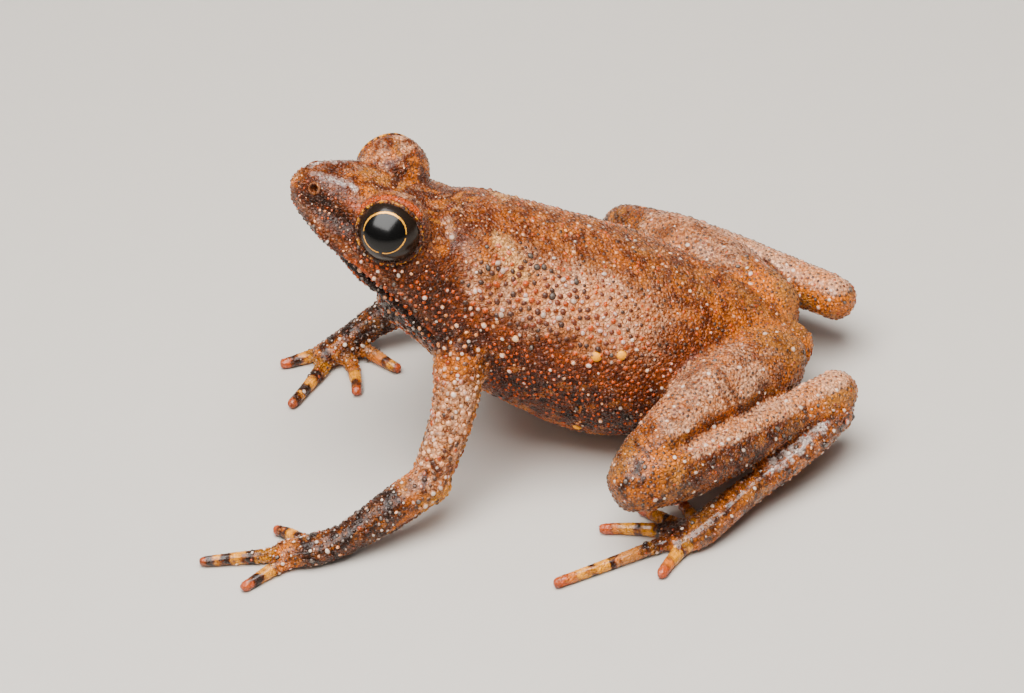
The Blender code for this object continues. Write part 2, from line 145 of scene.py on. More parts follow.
JAW_STATIONS = (
    (2.10, -0.84, 0.90, 0.30, 0.30), (2.50, -0.86, 1.60, 0.35, 0.50),
    (3.20, -0.88, 2.20, 0.40, 0.70), (3.90, -0.89, 2.53, 0.45, 0.80),
    (4.90, -0.94, 2.80, 0.50, 0.95), (6.00, -1.22, 2.92, 0.60, 1.25),
    (7.50, -1.80, 2.90, 0.80, 1.60), (8.80, -2.30, 2.60, 1.00, 1.80),
)

print(len(TRUNK_STATIONS), "trunk,", len(HEAD_STATIONS), "head and", len(JAW_STATIONS), "jaw sections")

# %% Limb sections, x, y, z, half width and half height on the way down
LIMB_STATIONS = {
    "upper_arm_left": (
        (2.20, -1.50, 5.90, 0.95, 0.95), (2.90, -1.70, 5.15, 0.90, 0.88),
        (3.70, -1.96, 4.10, 0.78, 0.76), (4.42, -2.45, 3.00, 0.71, 0.70),
        (4.95, -3.00, 2.05, 0.68, 0.66),
    ),
    "forearm_left": (
        (5.12, -3.05, 1.78, 0.70, 0.68), (5.45, -3.80, 1.54, 0.70, 0.68),
        (5.90, -4.85, 1.14, 0.65, 0.65), (6.40, -6.10, 0.72, 0.52, 0.50),
    ),
    "upper_arm_right": (
        (-2.20, -1.50, 5.90, 0.95, 0.95), (-2.95, -1.50, 5.15, 0.90, 0.88),
        (-4.20, -1.50, 4.15, 0.78, 0.76), (-5.35, -1.60, 3.10, 0.70, 0.70),
        (-6.05, -1.80, 2.25, 0.68, 0.66),
    ),
    "forearm_right": (
        (-6.15, -1.98, 2.05, 0.68, 0.66), (-6.05, -3.20, 1.75, 0.68, 0.68),
        (-5.80, -4.45, 1.30, 0.62, 0.62), (-5.52, -5.65, 0.76, 0.50, 0.48),
    ),
    "thigh_left": (
        (1.60, 8.90, 3.00, 1.20, 1.30), (3.30, 7.45, 3.15, 1.35, 1.50),
        (4.60, 6.20, 3.15, 1.30, 1.45), (6.10, 4.90, 2.95, 1.15, 1.22),
        (7.15, 4.05, 2.75, 0.95, 1.00),
    ),
    "shank_left": (
        (7.38, 4.05, 2.70, 0.92, 0.95), (6.90, 5.40, 2.62, 0.95, 1.00),
        (5.80, 7.00, 2.55, 0.95, 0.98), (4.60, 8.60, 2.45, 0.85, 0.85),
        (3.40, 10.25, 2.42, 0.76, 0.76), (2.85, 11.00, 2.36, 0.78, 0.78),
    ),
    "tarsus_left": (
        (3.38, 11.00, 1.85, 0.58, 0.58), (4.35, 10.10, 1.60, 0.54, 0.54),
        (5.20, 9.10, 1.34, 0.52, 0.50), (6.00, 7.95, 1.08, 0.52, 0.48),
    ),
    "thigh_right": (
        (-1.60, 8.90, 3.00, 1.20, 1.30), (-3.30, 7.50, 3.20, 1.35, 1.50),
        (-4.70, 6.30, 3.25, 1.30, 1.45), (-6.15, 5.00, 3.05, 1.15, 1.22),
        (-7.10, 4.25, 2.84, 0.95, 1.00),
    ),
    "shank_right": (
        (-7.34, 4.25, 2.78, 0.92, 0.95), (-6.50, 5.85, 2.76, 0.95, 1.00),
        (-5.35, 7.55, 2.66, 0.95, 0.98), (-4.18, 9.40, 2.48, 0.85, 0.85),
        (-3.15, 10.95, 2.34, 0.76, 0.76), (-2.80, 11.36, 2.28, 0.76, 0.76),
    ),
    "tarsus_right": (
        (-3.28, 11.40, 1.78, 0.58, 0.58), (-4.28, 10.30, 1.56, 0.54, 0.54),
        (-5.18, 9.20, 1.32, 0.52, 0.50), (-6.00, 8.00, 1.07, 0.52, 0.48),
    ),
    "hand_left": (
        (6.40, -6.15, 0.66, 0.52, 0.52), (6.50, -7.20, 0.45, 0.64, 0.52),
        (6.50, -8.20, 0.35, 0.58, 0.42),
    ),
    "hand_right": (
        (-5.50, -5.70, 0.70, 0.52, 0.50), (-5.10, -6.35, 0.45, 0.64, 0.52),
        (-4.80, -6.95, 0.35, 0.54, 0.42),
    ),
    "foot_left": (
        (6.00, 7.95, 1.08, 0.50, 0.48), (6.95, 6.75, 0.78, 0.60, 0.48),
        (7.45, 5.90, 0.46, 0.66, 0.50), (7.65, 5.20, 0.35, 0.60, 0.40),
    ),
}
FAR_FOOT_SHIFT = 0.05
LIMB_STATIONS["foot_right"] = tuple(
    (-x, y + FAR_FOOT_SHIFT, z, wide, tall) for x, y, z, wide, tall in LIMB_STATIONS["foot_left"]
)

print(len(LIMB_STATIONS), "limb paths")

# %% Digits, x and y of the root, the knuckle, the middle and the tip
DIGIT_PATHS = {
    "hand_left": (
        ((6.20, -6.70), (5.92, -6.92), (5.68, -7.10), (5.46, -7.26)),
        ((6.20, -7.10), (5.67, -7.68), (5.15, -8.20), (4.90, -8.55)),
        ((6.45, -7.60), (6.36, -9.05), (6.30, -10.20), (6.27, -11.05)),
        ((6.70, -7.60), (6.99, -8.46), (7.52, -9.18), (7.85, -9.60)),
    ),
    "hand_right": (
        ((-5.15, -5.90), (-4.75, -5.25), (-4.20, -4.70), (-3.90, -4.40)),
        ((-4.90, -6.25), (-4.20, -6.00), (-3.30, -5.85), (-2.75, -5.83)),
        ((-4.90, -6.70), (-4.10, -7.10), (-3.20, -7.62), (-2.35, -8.12)),
        ((-5.15, -6.70), (-5.06, -7.35), (-4.88, -8.05), (-4.80, -8.45)),
    ),
    "foot_left": (
        ((7.05, 5.95), (6.45, 5.80), (5.85, 5.58), (5.50, 5.45)),
        ((7.25, 5.55), (6.55, 5.00), (5.95, 4.40), (5.60, 4.05)),
        ((7.40, 5.25), (6.90, 4.45), (6.60, 3.50), (6.46, 2.70)),
        ((7.60, 5.25), (7.80, 4.40), (8.40, 2.90), (9.18, 1.05)),
        ((7.70, 5.80), (8.02, 5.35), (8.70, 4.85), (9.18, 4.58)),
    ),
}
DIGIT_PATHS["foot_right"] = tuple(
    tuple((-x, y + FAR_FOOT_SHIFT) for x, y in path) for path in DIGIT_PATHS["foot_left"]
)
DIGIT_HEIGHTS = (0.38, 0.26, 0.20, 0.18)
DIGIT_RADII = (0.30, 0.25, 0.215, 0.195)
for limb, paths in DIGIT_PATHS.items():
    for number, path in enumerate(paths, start=1):
        LIMB_STATIONS[f"{limb}_digit_{number}"] = tuple(
            (x, y, height, radius, radius)
            for (x, y), height, radius in zip(path, DIGIT_HEIGHTS, DIGIT_RADII)
        )
print(len(LIMB_STATIONS), "limb and digit paths")

# %% [markdown]
# Lofting the plain forms
#
# A loft is a row of closed rings, skinned one to the next and closed at both ends. Arrays make
# this short: a whole ring is worked out in one line. The rings are finer than the carrier's,
# because the skin is what is looked at.

# %% Lofts
BODY_SIDES = 72
LIMB_SIDES = 36
DIGIT_SIDES = 20
BODY_STEPS = 6
LIMB_STEPS = 8
CAP_STEPS = 7
END_REACH = 0.5


def spline(stations, steps):
    """Smooth rows of numbers that pass through each station."""
    rows = np.array(stations, dtype=float)
    rows = np.vstack((rows[0] * 2 - rows[1], rows, rows[-1] * 2 - rows[-2]))
    smooth = []
    for k in range(1, len(rows) - 2):
        before, start, end, after = rows[k - 1:k + 3]
        for t in np.arange(steps) / steps:
            bow = (before * 2 - start * 5 + end * 4 - after) * t ** 2
            bend = (start * 3 - before - end * 3 + after) * t ** 3
            smooth.append((start * 2 + (end - before) * t + bow + bend) * 0.5)
    smooth.append(rows[-2])
    return np.array(smooth)


def ring_of_points(centre, side, up, half_width, rise, drop, top_power, low_power, count):
    """An ellipse, or a squarer or leaner cousin of it."""
    angle = 2 * np.pi * np.arange(count) / count
    c = np.cos(angle)
    s = np.sin(angle)
    power = np.where(s >= 0, top_power, low_power)
    across = np.sign(c) * np.abs(c) ** (2 / power) * half_width
    above = np.sign(s) * np.abs(s) ** (2 / power) * np.where(s >= 0, rise, drop)
    return centre + across[:, None] * side + above[:, None] * up


def skin_rings(rings, start_pole, end_pole):
    """Points and triangles of a closed loft."""
    count = len(rings[0])
    points = np.vstack([*rings, start_pole, end_pole])
    k = np.arange(count)
    j = (k + 1) % count
    faces = []
    for row in range(len(rings) - 1):
        low = row * count
        high = low + count
        faces.append(np.stack((low + k, low + j, high + j), 1))
        faces.append(np.stack((low + k, high + j, high + k), 1))
    start = len(points) - 2
    last = (len(rings) - 1) * count
    faces.append(np.stack((np.full(count, start), j, k), 1))
    faces.append(np.stack((np.full(count, start + 1), last + k, last + j), 1))
    return points, np.vstack(faces)


def slope_axes(pitch):
    """The along and up directions of an axis that slopes down towards the tail."""
    return (np.array((0.0, math.cos(pitch), -math.sin(pitch))),
            np.array((0.0, math.sin(pitch), math.cos(pitch))))


def body_form(pitch, stations, top_power, low_power):
    along, up = slope_axes(pitch)
    side = np.array((1.0, 0.0, 0.0))
    rows = spline(stations, BODY_STEPS)
    rings = [ring_of_points(SNOUT_TIP + along * place + up * level, side, up, half_width,
                            rise, drop, top_power, low_power, BODY_SIDES)
             for place, level, half_width, rise, drop in rows]
    poles = [SNOUT_TIP + along * (row[0] + sign * min(row[2], row[3]) * END_REACH) + up * row[1]
             for row, sign in ((rows[0], -1), (rows[-1], 1))]
    return skin_rings(rings, *poles)


def path_frames(rows):
    """The side and up directions at each row of a bent path."""
    places = rows[:, :3]
    along = np.gradient(places, axis=0)
    along /= np.linalg.norm(along, axis=1, keepdims=True)
    side = np.cross(along, (0.0, 0.0, 1.0))
    side /= np.linalg.norm(side, axis=1, keepdims=True)
    return along, side, np.cross(side, along)


def limb_form(stations, sides):
    rows = spline(stations, LIMB_STEPS)
    along, side, up = path_frames(rows)

    def ring(index, push, share):
        wide, tall = rows[index, 3:5] * share
        return ring_of_points(rows[index, :3] + along[index] * push, side[index], up[index],
                              wide, tall, tall, ROUND_SECTION, ROUND_SECTION, sides)

    angles = 0.5 * np.pi * np.arange(1, CAP_STEPS) / CAP_STEPS
    last = len(rows) - 1
    reach = rows[:, 3:5].mean(axis=1)
    start_cap = [ring(0, -reach[0] * math.sin(a), math.cos(a)) for a in angles[::-1]]
    end_cap = [ring(last, reach[last] * math.sin(a), math.cos(a)) for a in angles]
    rings = start_cap + [ring(index, 0.0, 1.0) for index in range(len(rows))] + end_cap
    return skin_rings(rings, rows[0, :3] - along[0] * reach[0],
                      rows[last, :3] + along[last] * reach[last])


def ball_form(centre, radius):
    """A ball as a very short limb, so that all forms come from one loft."""
    tiny = radius * 0.01
    tail = np.append(centre, (radius, radius))
    return limb_form((tail - (0, tiny, 0, 0, 0), tail + (0, tiny, 0, 0, 0)), LIMB_SIDES)


print("a ball takes", len(ball_form(EYE_CENTRE, 1.0)[1]), "triangles")

# %% [markdown]
# One skin from many forms
#
# A living toad has no seams, so the forms are melted into one skin. Booleans would leave hard
# creases where a limb meets the trunk. A voxel remesh rebuilds the outside of the whole pile as
# one even net, which then takes smoothing well. It works in any unit, so the pile stays in
# millimetres here: Blender's smallest voxel would be too coarse in metres.

# %% Gather and remesh
VOXEL = 0.095
LID_DOME_RADIUS = 1.31
LID_DOME_DEPTH = 0.20


def mirror_side(place, sign):
    return np.array((place[0] * sign, place[1], place[2]))


def gather_forms():
    forms = [body_form(TRUNK_PITCH, TRUNK_STATIONS, ROUND_SECTION, ROUND_SECTION),
             body_form(HEAD_PITCH, HEAD_STATIONS, CROWN_SECTION, LIP_SECTION),
             body_form(HEAD_PITCH, JAW_STATIONS, ROUND_SECTION, ROUND_SECTION)]
    for name, stations in LIMB_STATIONS.items():
        forms.append(limb_form(stations, DIGIT_SIDES if "digit" in name else LIMB_SIDES))
    for sign in (1, -1):
        centre = mirror_side(EYE_CENTRE - EYE_AXIS * LID_DOME_DEPTH, sign)
        forms.append(ball_form(centre, LID_DOME_RADIUS))
    return forms


def plain_mesh(name, points, faces):
    mesh = bpy.data.meshes.new(name)
    mesh.from_pydata(points.tolist(), [], faces.tolist())
    mesh.update()
    return mesh


def melt(forms):
    """The outside of a pile of closed forms, as one net of quads."""
    points = []
    faces = []
    count = 0
    for form_points, form_faces in forms:
        points.append(form_points)
        faces.append(form_faces + count)
        count += len(form_points)
    pile = bpy.data.objects.new("pile", plain_mesh("pile", np.vstack(points), np.vstack(faces)))
    bpy.context.scene.collection.objects.link(pile)
    remesh = pile.modifiers.new("melt", "REMESH")
    remesh.mode = "VOXEL"
    remesh.voxel_size = VOXEL
    graph = bpy.context.evaluated_depsgraph_get()
    melted = bpy.data.meshes.new_from_object(pile.evaluated_get(graph))
    bpy.data.objects.remove(pile, do_unlink=True)
    return melted


melted_mesh = melt(gather_forms())
print("melted into", len(melted_mesh.polygons), "faces")

# %% [markdown]
# A finer net on the head
#
# The eyelids, nostrils and lips need smaller faces than the back does. Splitting only the
# faces of the head keeps the whole skin light enough to work with.

# %% Refine the head
FINE_PLACE = 6.6
FINE_LEVEL = 5.2
FINE_HALF_WIDTH = 3.4


def trunk_place(points):
    """How far along the trunk's axis each point lies, and how high above it."""
    along, up = slope_axes(TRUNK_PITCH)
    return (points - SNOUT_TIP) @ along, (points - SNOUT_TIP) @ up


def refine_head(mesh):
    builder = bmesh.new()
    builder.from_mesh(mesh)
    points = np.array([vertex.co[:] for vertex in builder.verts])
    place, _ = trunk_place(points)
    fine = (place < FINE_PLACE) & (points[:, 2] > FINE_LEVEL) & (np.abs(points[:, 0]) < FINE_HALF_WIDTH)
    edges = [edge for edge in builder.edges if all(fine[vertex.index] for vertex in edge.verts)]
    bmesh.ops.subdivide_edges(builder, edges=edges, cuts=1, use_grid_fill=True)
    bmesh.ops.triangulate(builder, faces=builder.faces)
    points = np.array([vertex.co[:] for vertex in builder.verts])
    builder.verts.index_update()
    faces = np.array([[vertex.index for vertex in face.verts] for face in builder.faces])
    builder.free()
    return points, faces


skin_points, skin_faces = refine_head(melted_mesh)
bpy.data.meshes.remove(melted_mesh)
print("skin net", len(skin_points), "points,", len(skin_faces), "triangles")

# %% [markdown]
# Smoothing in code
#
# Each point is moved towards the mean of its neighbours, then a little back, so that the steps
# of the voxels vanish and thin fingers don't shrink. Then a one-sided version runs: it only
# lifts points that lie in a hollow. That fills the crease where a limb leaves the trunk, as
# skin and muscle do on a real animal.

# %% Smoothing
HOLLOW_STEP = 0.6
FIRST_ROUNDS = 8


def net_edges(faces):
    pairs = np.vstack((faces[:, [0, 1]], faces[:, [1, 2]], faces[:, [2, 0]]))
    return np.unique(np.sort(pairs, axis=1), axis=0)


def neighbour_mean(values, edges):
    count = len(values)
    total = np.zeros_like(values)
    degree = np.bincount(edges.ravel(), minlength=count)
    for axis in range(values.shape[1]):
        total[:, axis] = (np.bincount(edges[:, 0], values[edges[:, 1], axis], count)
                          + np.bincount(edges[:, 1], values[edges[:, 0], axis], count))
    return total / degree[:, None]


def point_normals(points, faces):
    corners = points[faces]
    flat = np.cross(corners[:, 1] - corners[:, 0], corners[:, 2] - corners[:, 0])
    normals = np.zeros_like(points)
    for axis in range(3):
        for corner in range(3):
            normals[:, axis] += np.bincount(faces[:, corner], flat[:, axis], len(points))
    return normals / np.linalg.norm(normals, axis=1, keepdims=True)


def relax(points, edges, rounds, forward=0.5, backward=-0.52):
    for _ in range(rounds):
        for step in (forward, backward):
            points = points + step * (neighbour_mean(points, edges) - points)
    return points


def fill_hollows(points, faces, edges, weight, rounds):
    for _ in range(rounds):
        pull = neighbour_mean(points, edges) - points
        outward = np.einsum("ij,ij->i", pull, point_normals(points, faces))
        lift = (outward > 0) * weight
        points = points + pull * (lift * HOLLOW_STEP)[:, None]
    return points


skin_edges = net_edges(skin_faces)
skin_points = relax(skin_points, skin_edges, FIRST_ROUNDS)
print("smoothed", len(skin_edges), "edges")

# %% [markdown]
# Where am I?
#
# Every later step asks the same question of a point: which part of the body are you on, and
# how far along it? For limbs the answer is the nearest place on the limb's path. We keep how
# far along the path that is, from 0 at the root to 1 at the tip, and how far outside the limb's
# own surface the point lies. Softened, that last number says how much a point belongs there.

# %% Regions
CHUNK = 4000
MEMBERSHIP_WIDTH = 0.22


def nearest_on_path(points, stations):
    """Share along the path, distance to the limb's surface, and distance from the tip."""
    rows = spline(stations, LIMB_STEPS)
    steps = np.linalg.norm(np.diff(rows[:, :3], axis=0), axis=1)
    travelled = np.concatenate(([0.0], np.cumsum(steps)))
    share = np.empty(len(points))
    outside = np.empty(len(points))
    for start in range(0, len(points), CHUNK):
        part = points[start:start + CHUNK]
        gap = np.linalg.norm(part[:, None] - rows[None, :, :3], axis=2)
        best = gap.argmin(axis=1)
        share[start:start + CHUNK] = travelled[best] / travelled[-1]
        outside[start:start + CHUNK] = gap[np.arange(len(part)), best] - rows[best, 3:5].mean(axis=1)
    return share, outside, (1.0 - share) * travelled[-1]


def ramp(value, low, high):
    """Zero below low, one above high, with a soft start and end."""
    t = np.clip((value - low) / (high - low), 0.0, 1.0)
    return t * t * (3 - 2 * t)


def window(value, low, high, fade, end):
    """Rises from low to high, and sinks again from fade to end."""
    return ramp(value, low, high) * (1 - ramp(value, fade, end))


def hump(distance, width):
    """One where the distance is zero, and next to nothing at twice the width."""
    return np.exp(-(distance / width) ** 2)


def find_regions(points):
    """How much each point belongs to each limb part, and where along it."""
    regions = {}
    for name, stations in LIMB_STATIONS.items():
        share, outside, from_tip = nearest_on_path(points, stations)
        belongs = ramp(-outside, -MEMBERSHIP_WIDTH * 2, MEMBERSHIP_WIDTH * 0.2)
        regions[name] = (belongs, share, from_tip)
    return regions


print("the skin reaches", round(trunk_place(skin_points)[0].max(), 1), "mm along the trunk's axis")

# %% [markdown]
# Folds and creases
#
# The leg is folded, so thigh and shank touch, and so do shank and lower leg. On the real animal
# that is an open fold, and it is even pressed in a little here. Every other crease where one form
# leaves another is filled by the one-sided smoothing, and the one where the thigh leaves the
# trunk longest, because a broad muscle lies across it.

# %% Folds stay, creases fill
FOLD_REACH = 0.30
FOLD_DEPTH = 0.16
FILL_START = 5.5
FILL_ROUNDS = 40
HIP_LINE = ((4.3, 5.6, 4.7), (3.5, 7.0, 4.3), (2.7, 8.4, 4.0))
HIP_WIDTH = 0.9
HIP_ROUNDS = 90
LAST_ROUNDS = 3
TINY = 1e-9


def open_folds(points):
    """Where two folded parts of a leg lie against each other, away from the joint they share."""
    folds = np.zeros(len(points))
    for side in ("left", "right"):
        for first, second in (("thigh_", "shank_"), ("shank_", "tarsus_")):
            share, outside, _ = nearest_on_path(points, LIMB_STATIONS[first + side])
            _, other_outside, _ = nearest_on_path(points, LIMB_STATIONS[second + side])
            both = hump(outside, FOLD_REACH) * hump(other_outside, FOLD_REACH)
            folds = np.maximum(folds, both * (1 - ramp(share, 0.80, 0.93)))
    return folds


def line_distance(points, line):
    """Distance to a bent line, or to a point given twice, on either side of the body."""
    folded = points.copy()
    folded[:, 0] = np.abs(folded[:, 0])
    best = np.full(len(points), np.inf)
    for start, end in zip(line, line[1:]):
        start = np.array(start)
        reach = np.array(end) - start
        share = np.clip((folded - start) @ reach / max(reach @ reach, TINY), 0, 1)
        best = np.minimum(best, np.linalg.norm(folded - start - share[:, None] * reach, axis=1))
    return best


folds = open_folds(skin_points)
fill = (trunk_place(skin_points)[0] > FILL_START) * np.clip(1 - 3 * folds, 0, 1)
skin_points = fill_hollows(skin_points, skin_faces, skin_edges, fill, FILL_ROUNDS)
fold_push = FOLD_DEPTH * ramp(folds, 0.2, 0.9)
skin_points = skin_points - point_normals(skin_points, skin_faces) * fold_push[:, None]
hip = hump(line_distance(skin_points, HIP_LINE), HIP_WIDTH)
skin_points = fill_hollows(skin_points, skin_faces, skin_edges, hip, HIP_ROUNDS)
skin_points = relax(skin_points, skin_edges, LAST_ROUNDS)
regions = find_regions(skin_points)
print("regions found for", len(regions), "paths")

# %% [markdown]
# Sculpting the head
#
# What makes this face is a ridge from the snout to the eye, a hollow cheek under it, a
# nostril set in a small ring, a firm lip line, and lids that fit the ball closely. Each one is a
# push along the skin's normal, shaped by the distance to a line or a point. A table of such
# pushes is easier to read and to tune than a line of code for each.

# %% Head features
RIDGE_LINE = ((0.35, -6.70, 11.75), (0.62, -6.35, 11.98),
              (1.00, -5.54, 11.90), (1.42, -4.62, 11.55))
STREAK_LINE = ((0.28, -5.98, 11.65), (0.48, -5.42, 11.56),
               (0.62, -4.94, 11.42), (0.80, -4.56, 11.26))
BROW_LINE = ((1.42, -4.62, 11.55), (1.75, -3.95, 11.62),
             (1.95, -3.20, 11.60), (2.05, -2.50, 11.20))
NOSTRIL_AIM = np.array((0.86, -6.00, 11.50))
NOSTRIL = (skin_points[np.linalg.norm(skin_points - NOSTRIL_AIM, axis=1).argmin()],) * 2
SNOUT_HOLLOW = ((1.85, -5.15, 10.70), (1.25, -5.95, 10.95))
SNOUT_TOP = ((0.10, -6.50, 12.05), (0.15, -5.70, 12.30))
NAPE_LINE = ((1.70, -2.40, 11.60), (2.00, -1.20, 10.90))
CROWN_DIP = ((0.0, -5.6, 12.2), (0.0, -3.2, 12.0))
CHEEK_LINE = ((2.75, -3.6, 8.9), (3.0, -2.2, 8.4))
HEAD_END = (5.5, 7.0)
MOUTH_HEIGHT = ((1.9, -0.80), (2.6, -0.78), (3.6, -0.80), (4.8, -1.00), (5.9, -1.36), (6.4, -1.55))
MOUTH_FRONT = (0.1, 0.5)
MOUTH_CORNER = (6.2, 6.7)
MOUTH_HALF_WIDTH = 3.6
NOSTRIL_RING = 0.16
NOSTRIL_RING_WIDTH = 0.06
NOSTRIL_RING_HEIGHT = 0.09
NOSTRIL_WIDTH = 0.09
NOSTRIL_DEPTH = 0.30
# Each row is a line, the height of the push and its width.
HEAD_PUSHES = (
    (RIDGE_LINE, 0.20, 0.22), (STREAK_LINE, 0.07, 0.24), (BROW_LINE, 0.13, 0.24),
    (SNOUT_HOLLOW, -0.26, 0.42), (CROWN_DIP, -0.10, 0.55), (CHEEK_LINE, 0.10, 0.50),
)
# Each row is the height above the mouth's line, the height of the push and its width.
LIP_PUSHES = ((0.0, -0.09, 0.050), (0.16, 0.07, 0.11), (-0.16, 0.12, 0.13))


def head_place(points):
    """How far along the head's axis each point lies, and how high above it."""
    along, up = slope_axes(HEAD_PITCH)
    return (points - SNOUT_TIP) @ along, (points - SNOUT_TIP) @ up


def mouth_distance(points):
    """Height above the line of the mouth, which follows the jaw back to its corner."""
    place, height = head_place(points)
    knots = np.array(MOUTH_HEIGHT)
    return height - np.interp(place, knots[:, 0], knots[:, 1]), place


def sculpt_head(points, faces):
    push = sum(height * hump(line_distance(points, line), width) for line, height, width in HEAD_PUSHES)
    from_nostril = line_distance(points, NOSTRIL)
    push += NOSTRIL_RING_HEIGHT * hump(from_nostril - NOSTRIL_RING, NOSTRIL_RING_WIDTH)
    push -= NOSTRIL_DEPTH * hump(from_nostril, NOSTRIL_WIDTH)
    above_mouth, mouth_place = mouth_distance(points)
    on_mouth = window(mouth_place, *MOUTH_FRONT, *MOUTH_CORNER)
    on_mouth = on_mouth * (np.abs(points[:, 0]) < MOUTH_HALF_WIDTH)
    for level, height, width in LIP_PUSHES:
        push += height * on_mouth * hump(above_mouth - level, width)
    return points + point_normals(points, faces) * push[:, None]


skin_points = sculpt_head(skin_points, skin_faces)
print("face sculpted, nostril at", np.round(NOSTRIL[0], 2))

# %% [markdown]
# Eyelids
#
# The lids are made another way: points near the eye are moved straight out from or in towards
# its centre, so the skin dives behind the ball inside the opening and hugs it at the margin. The
# opening is an oval on the ball, longer towards the snout. A bead runs round its edge.

# %% Eyelids
BALL_RADIUS = 1.12
NEAR_EYE = 1.9
LID_OPENING_LONG = math.radians(75.0)
LID_OPENING_SHORT = math.radians(61.0)
LID_BEAD = 0.065
LID_GAP = 0.025
LID_SINK = 0.22
FAR_LID_DROOP = 0.48


def lid_opening(points, sign):
    """Angle from the eye's axis, and the opening's angle in that direction."""
    centre = mirror_side(EYE_CENTRE, sign)
    axis = mirror_side(EYE_AXIS, sign) - (0.0, 0.0, FAR_LID_DROOP if sign < 0 else 0.0)
    axis /= np.linalg.norm(axis)
    ahead = np.array((0.0, -math.cos(HEAD_PITCH), math.sin(HEAD_PITCH)))
    ahead -= axis * (ahead @ axis)
    ahead /= np.linalg.norm(ahead)
    across = np.cross(axis, ahead)
    offset = points - centre
    distance = np.linalg.norm(offset, axis=1)
    outward = offset / distance[:, None]
    angle = np.arccos(np.clip(outward @ axis, -1, 1))
    around = np.arctan2(outward @ across, outward @ ahead)
    opening = 1 / np.sqrt((np.cos(around) / LID_OPENING_LONG) ** 2
                          + (np.sin(around) / LID_OPENING_SHORT) ** 2)
    return centre, distance, outward, angle, opening


def fit_lids(points):
    inside = BALL_RADIUS - LID_SINK
    for sign in (1, -1):
        centre, distance, outward, angle, opening = lid_opening(points, sign)
        past = angle - opening
        rim = BALL_RADIUS + LID_GAP + LID_BEAD * (hump(past - 0.06, 0.05) + ramp(past, 0.14, 0.34))
        wanted = inside + (rim - inside) * ramp(past, -0.06, 0.02)
        hold = (1 - ramp(past, 0.14, 0.38)) * (distance < NEAR_EYE)
        points = centre + outward * (distance + (wanted - distance) * hold)[:, None]
    return points


skin_points = fit_lids(skin_points)
print("lids fitted to balls of", BALL_RADIUS, "mm")

# %% [markdown]
# Sculpting the body
#
# The back has a low bump where the hips' bone lies under the skin, a faint ridge down the
# spine, and a swelling over each shoulder blade. The flank has fine folds behind the arm. Broad,
# shallow waves stop the long lofts from looking turned on a lathe.

# %% Body features
WAVE_BEND = 0.20
FLANK_FOLD_SPACING = 0.42


def wave(points, lengths, seed):
    """A sum of slow sines in a gently bent space: smooth, repeatable unevenness."""
    draw = np.random.default_rng(seed)
    longest = max(lengths)
    swing = np.sin(points[:, [1, 2, 0]] * (5 / longest) + draw.uniform(0, 2 * np.pi, 3))
    bent = points + swing * longest * WAVE_BEND
    total = np.zeros(len(points))
    for length in lengths:
        direction = draw.normal(size=3)
        direction /= np.linalg.norm(direction)
        total += np.sin(2 * np.pi * (bent @ direction) / length + draw.uniform(0, 2 * np.pi))
    return total / len(lengths)


def sculpt_body(points, faces):
    normals = point_normals(points, faces)
    place, height = trunk_place(points)
    aside = np.abs(points[:, 0])
    spine = 0.05 * hump(aside, 0.30) * window(place, 7.0, 9.0, 17.0, 18.5)
    hips = 0.16 * hump(aside - 0.75, 0.5) * hump(place - 15.2, 1.1)
    shoulders = 0.12 * hump(aside - 2.0, 0.8) * hump(place - 7.2, 1.4)
    armpit = hump(place - 8.4, 1.3) * hump(height + 3.6, 1.2)
    folds = 0.035 * armpit * np.sin(2 * np.pi * (place + 0.25 * height) / FLANK_FOLD_SPACING)
    uneven = 0.05 * wave(points, (2.6, 2.0, 1.6, 1.3, 3.4), 3)
    on_trunk = 1 - np.clip(sum(entry[0] for entry in regions.values()), 0, 1)
    push = on_trunk * (uneven + ramp(normals[:, 2], 0.1, 0.7) * (spine + hips + shoulders) + folds)
    for side in ("left", "right"):
        thigh, share, _ = regions["thigh_" + side]
        push += 0.05 * thigh * (wave(points, (1.5, 1.1, 0.9), 5) + ramp(share, 0.8, 1.0))
    return points + normals * push[:, None]


skin_points = sculpt_body(skin_points, skin_faces)
skin_points[:, 2] = np.maximum(skin_points[:, 2], 0.0)
skin_normals = point_normals(skin_points, skin_faces)
print("skin spans", np.round(skin_points.max(axis=0) - skin_points.min(axis=0), 2), "mm")

# %% [markdown]
# Pigments
#
# The toad is painted with a few pigments, each an amount from 0 to 1 at every point of the
# skin: dark, orange, yellow, pale, red, cream and ash grey, over a reddish brown ground. The ash
# grey is both grey flecks and painted sheen, laid where wet skin would mirror the light. These
# amounts are worked out from the regions, so the same amounts can be handed to the granules that
# grow there.
# The material breaks their edges up later with fine noise. The digits carry bands: where each
# one starts, in millimetres from the tip, and its pigment.

# %% Pigment amounts
# The last pigment, ash grey, is partly grey flecks and partly painted sheen on wet places.
PIGMENTS = ("dark", "orange", "yellow", "pale", "red", "cream", "ash_and_sheen")
FINGER_BANDS = {
    1: ((0.00, "red"), (0.30, "yellow"), (0.60, "dark"), (0.80, "orange")),
    2: ((0.00, "red"), (0.35, "dark"), (0.66, "yellow"), (1.22, "dark"), (1.35, "orange")),
    3: ((0.00, "red"), (0.31, "dark"), (0.59, "yellow"), (0.80, "dark"), (1.18, "yellow"),
        (1.67, "dark"), (1.98, "yellow"), (3.00, "orange")),
    4: ((0.00, "red"), (0.45, "dark"), (0.87, "yellow"), (1.50, "orange")),
    5: ((0.00, "red"), (0.50, "dark"), (0.65, "red"), (0.95, "dark"), (1.10, "yellow"), (1.60, "dark")),
}
TOE_BANDS = ((0.00, "red"), (0.55, "orange"), (0.85, "yellow"), (1.40, "dark"), (1.55, "yellow"),
             (2.20, "dark"), (2.45, "orange"), (3.40, "dark"), (3.60, "yellow"), (4.20, "dark"))
BAND_EDGE = 0.13
DIGIT_BASE = {"hand": (0.46, 0.60), "foot": (0.26, 0.40)}
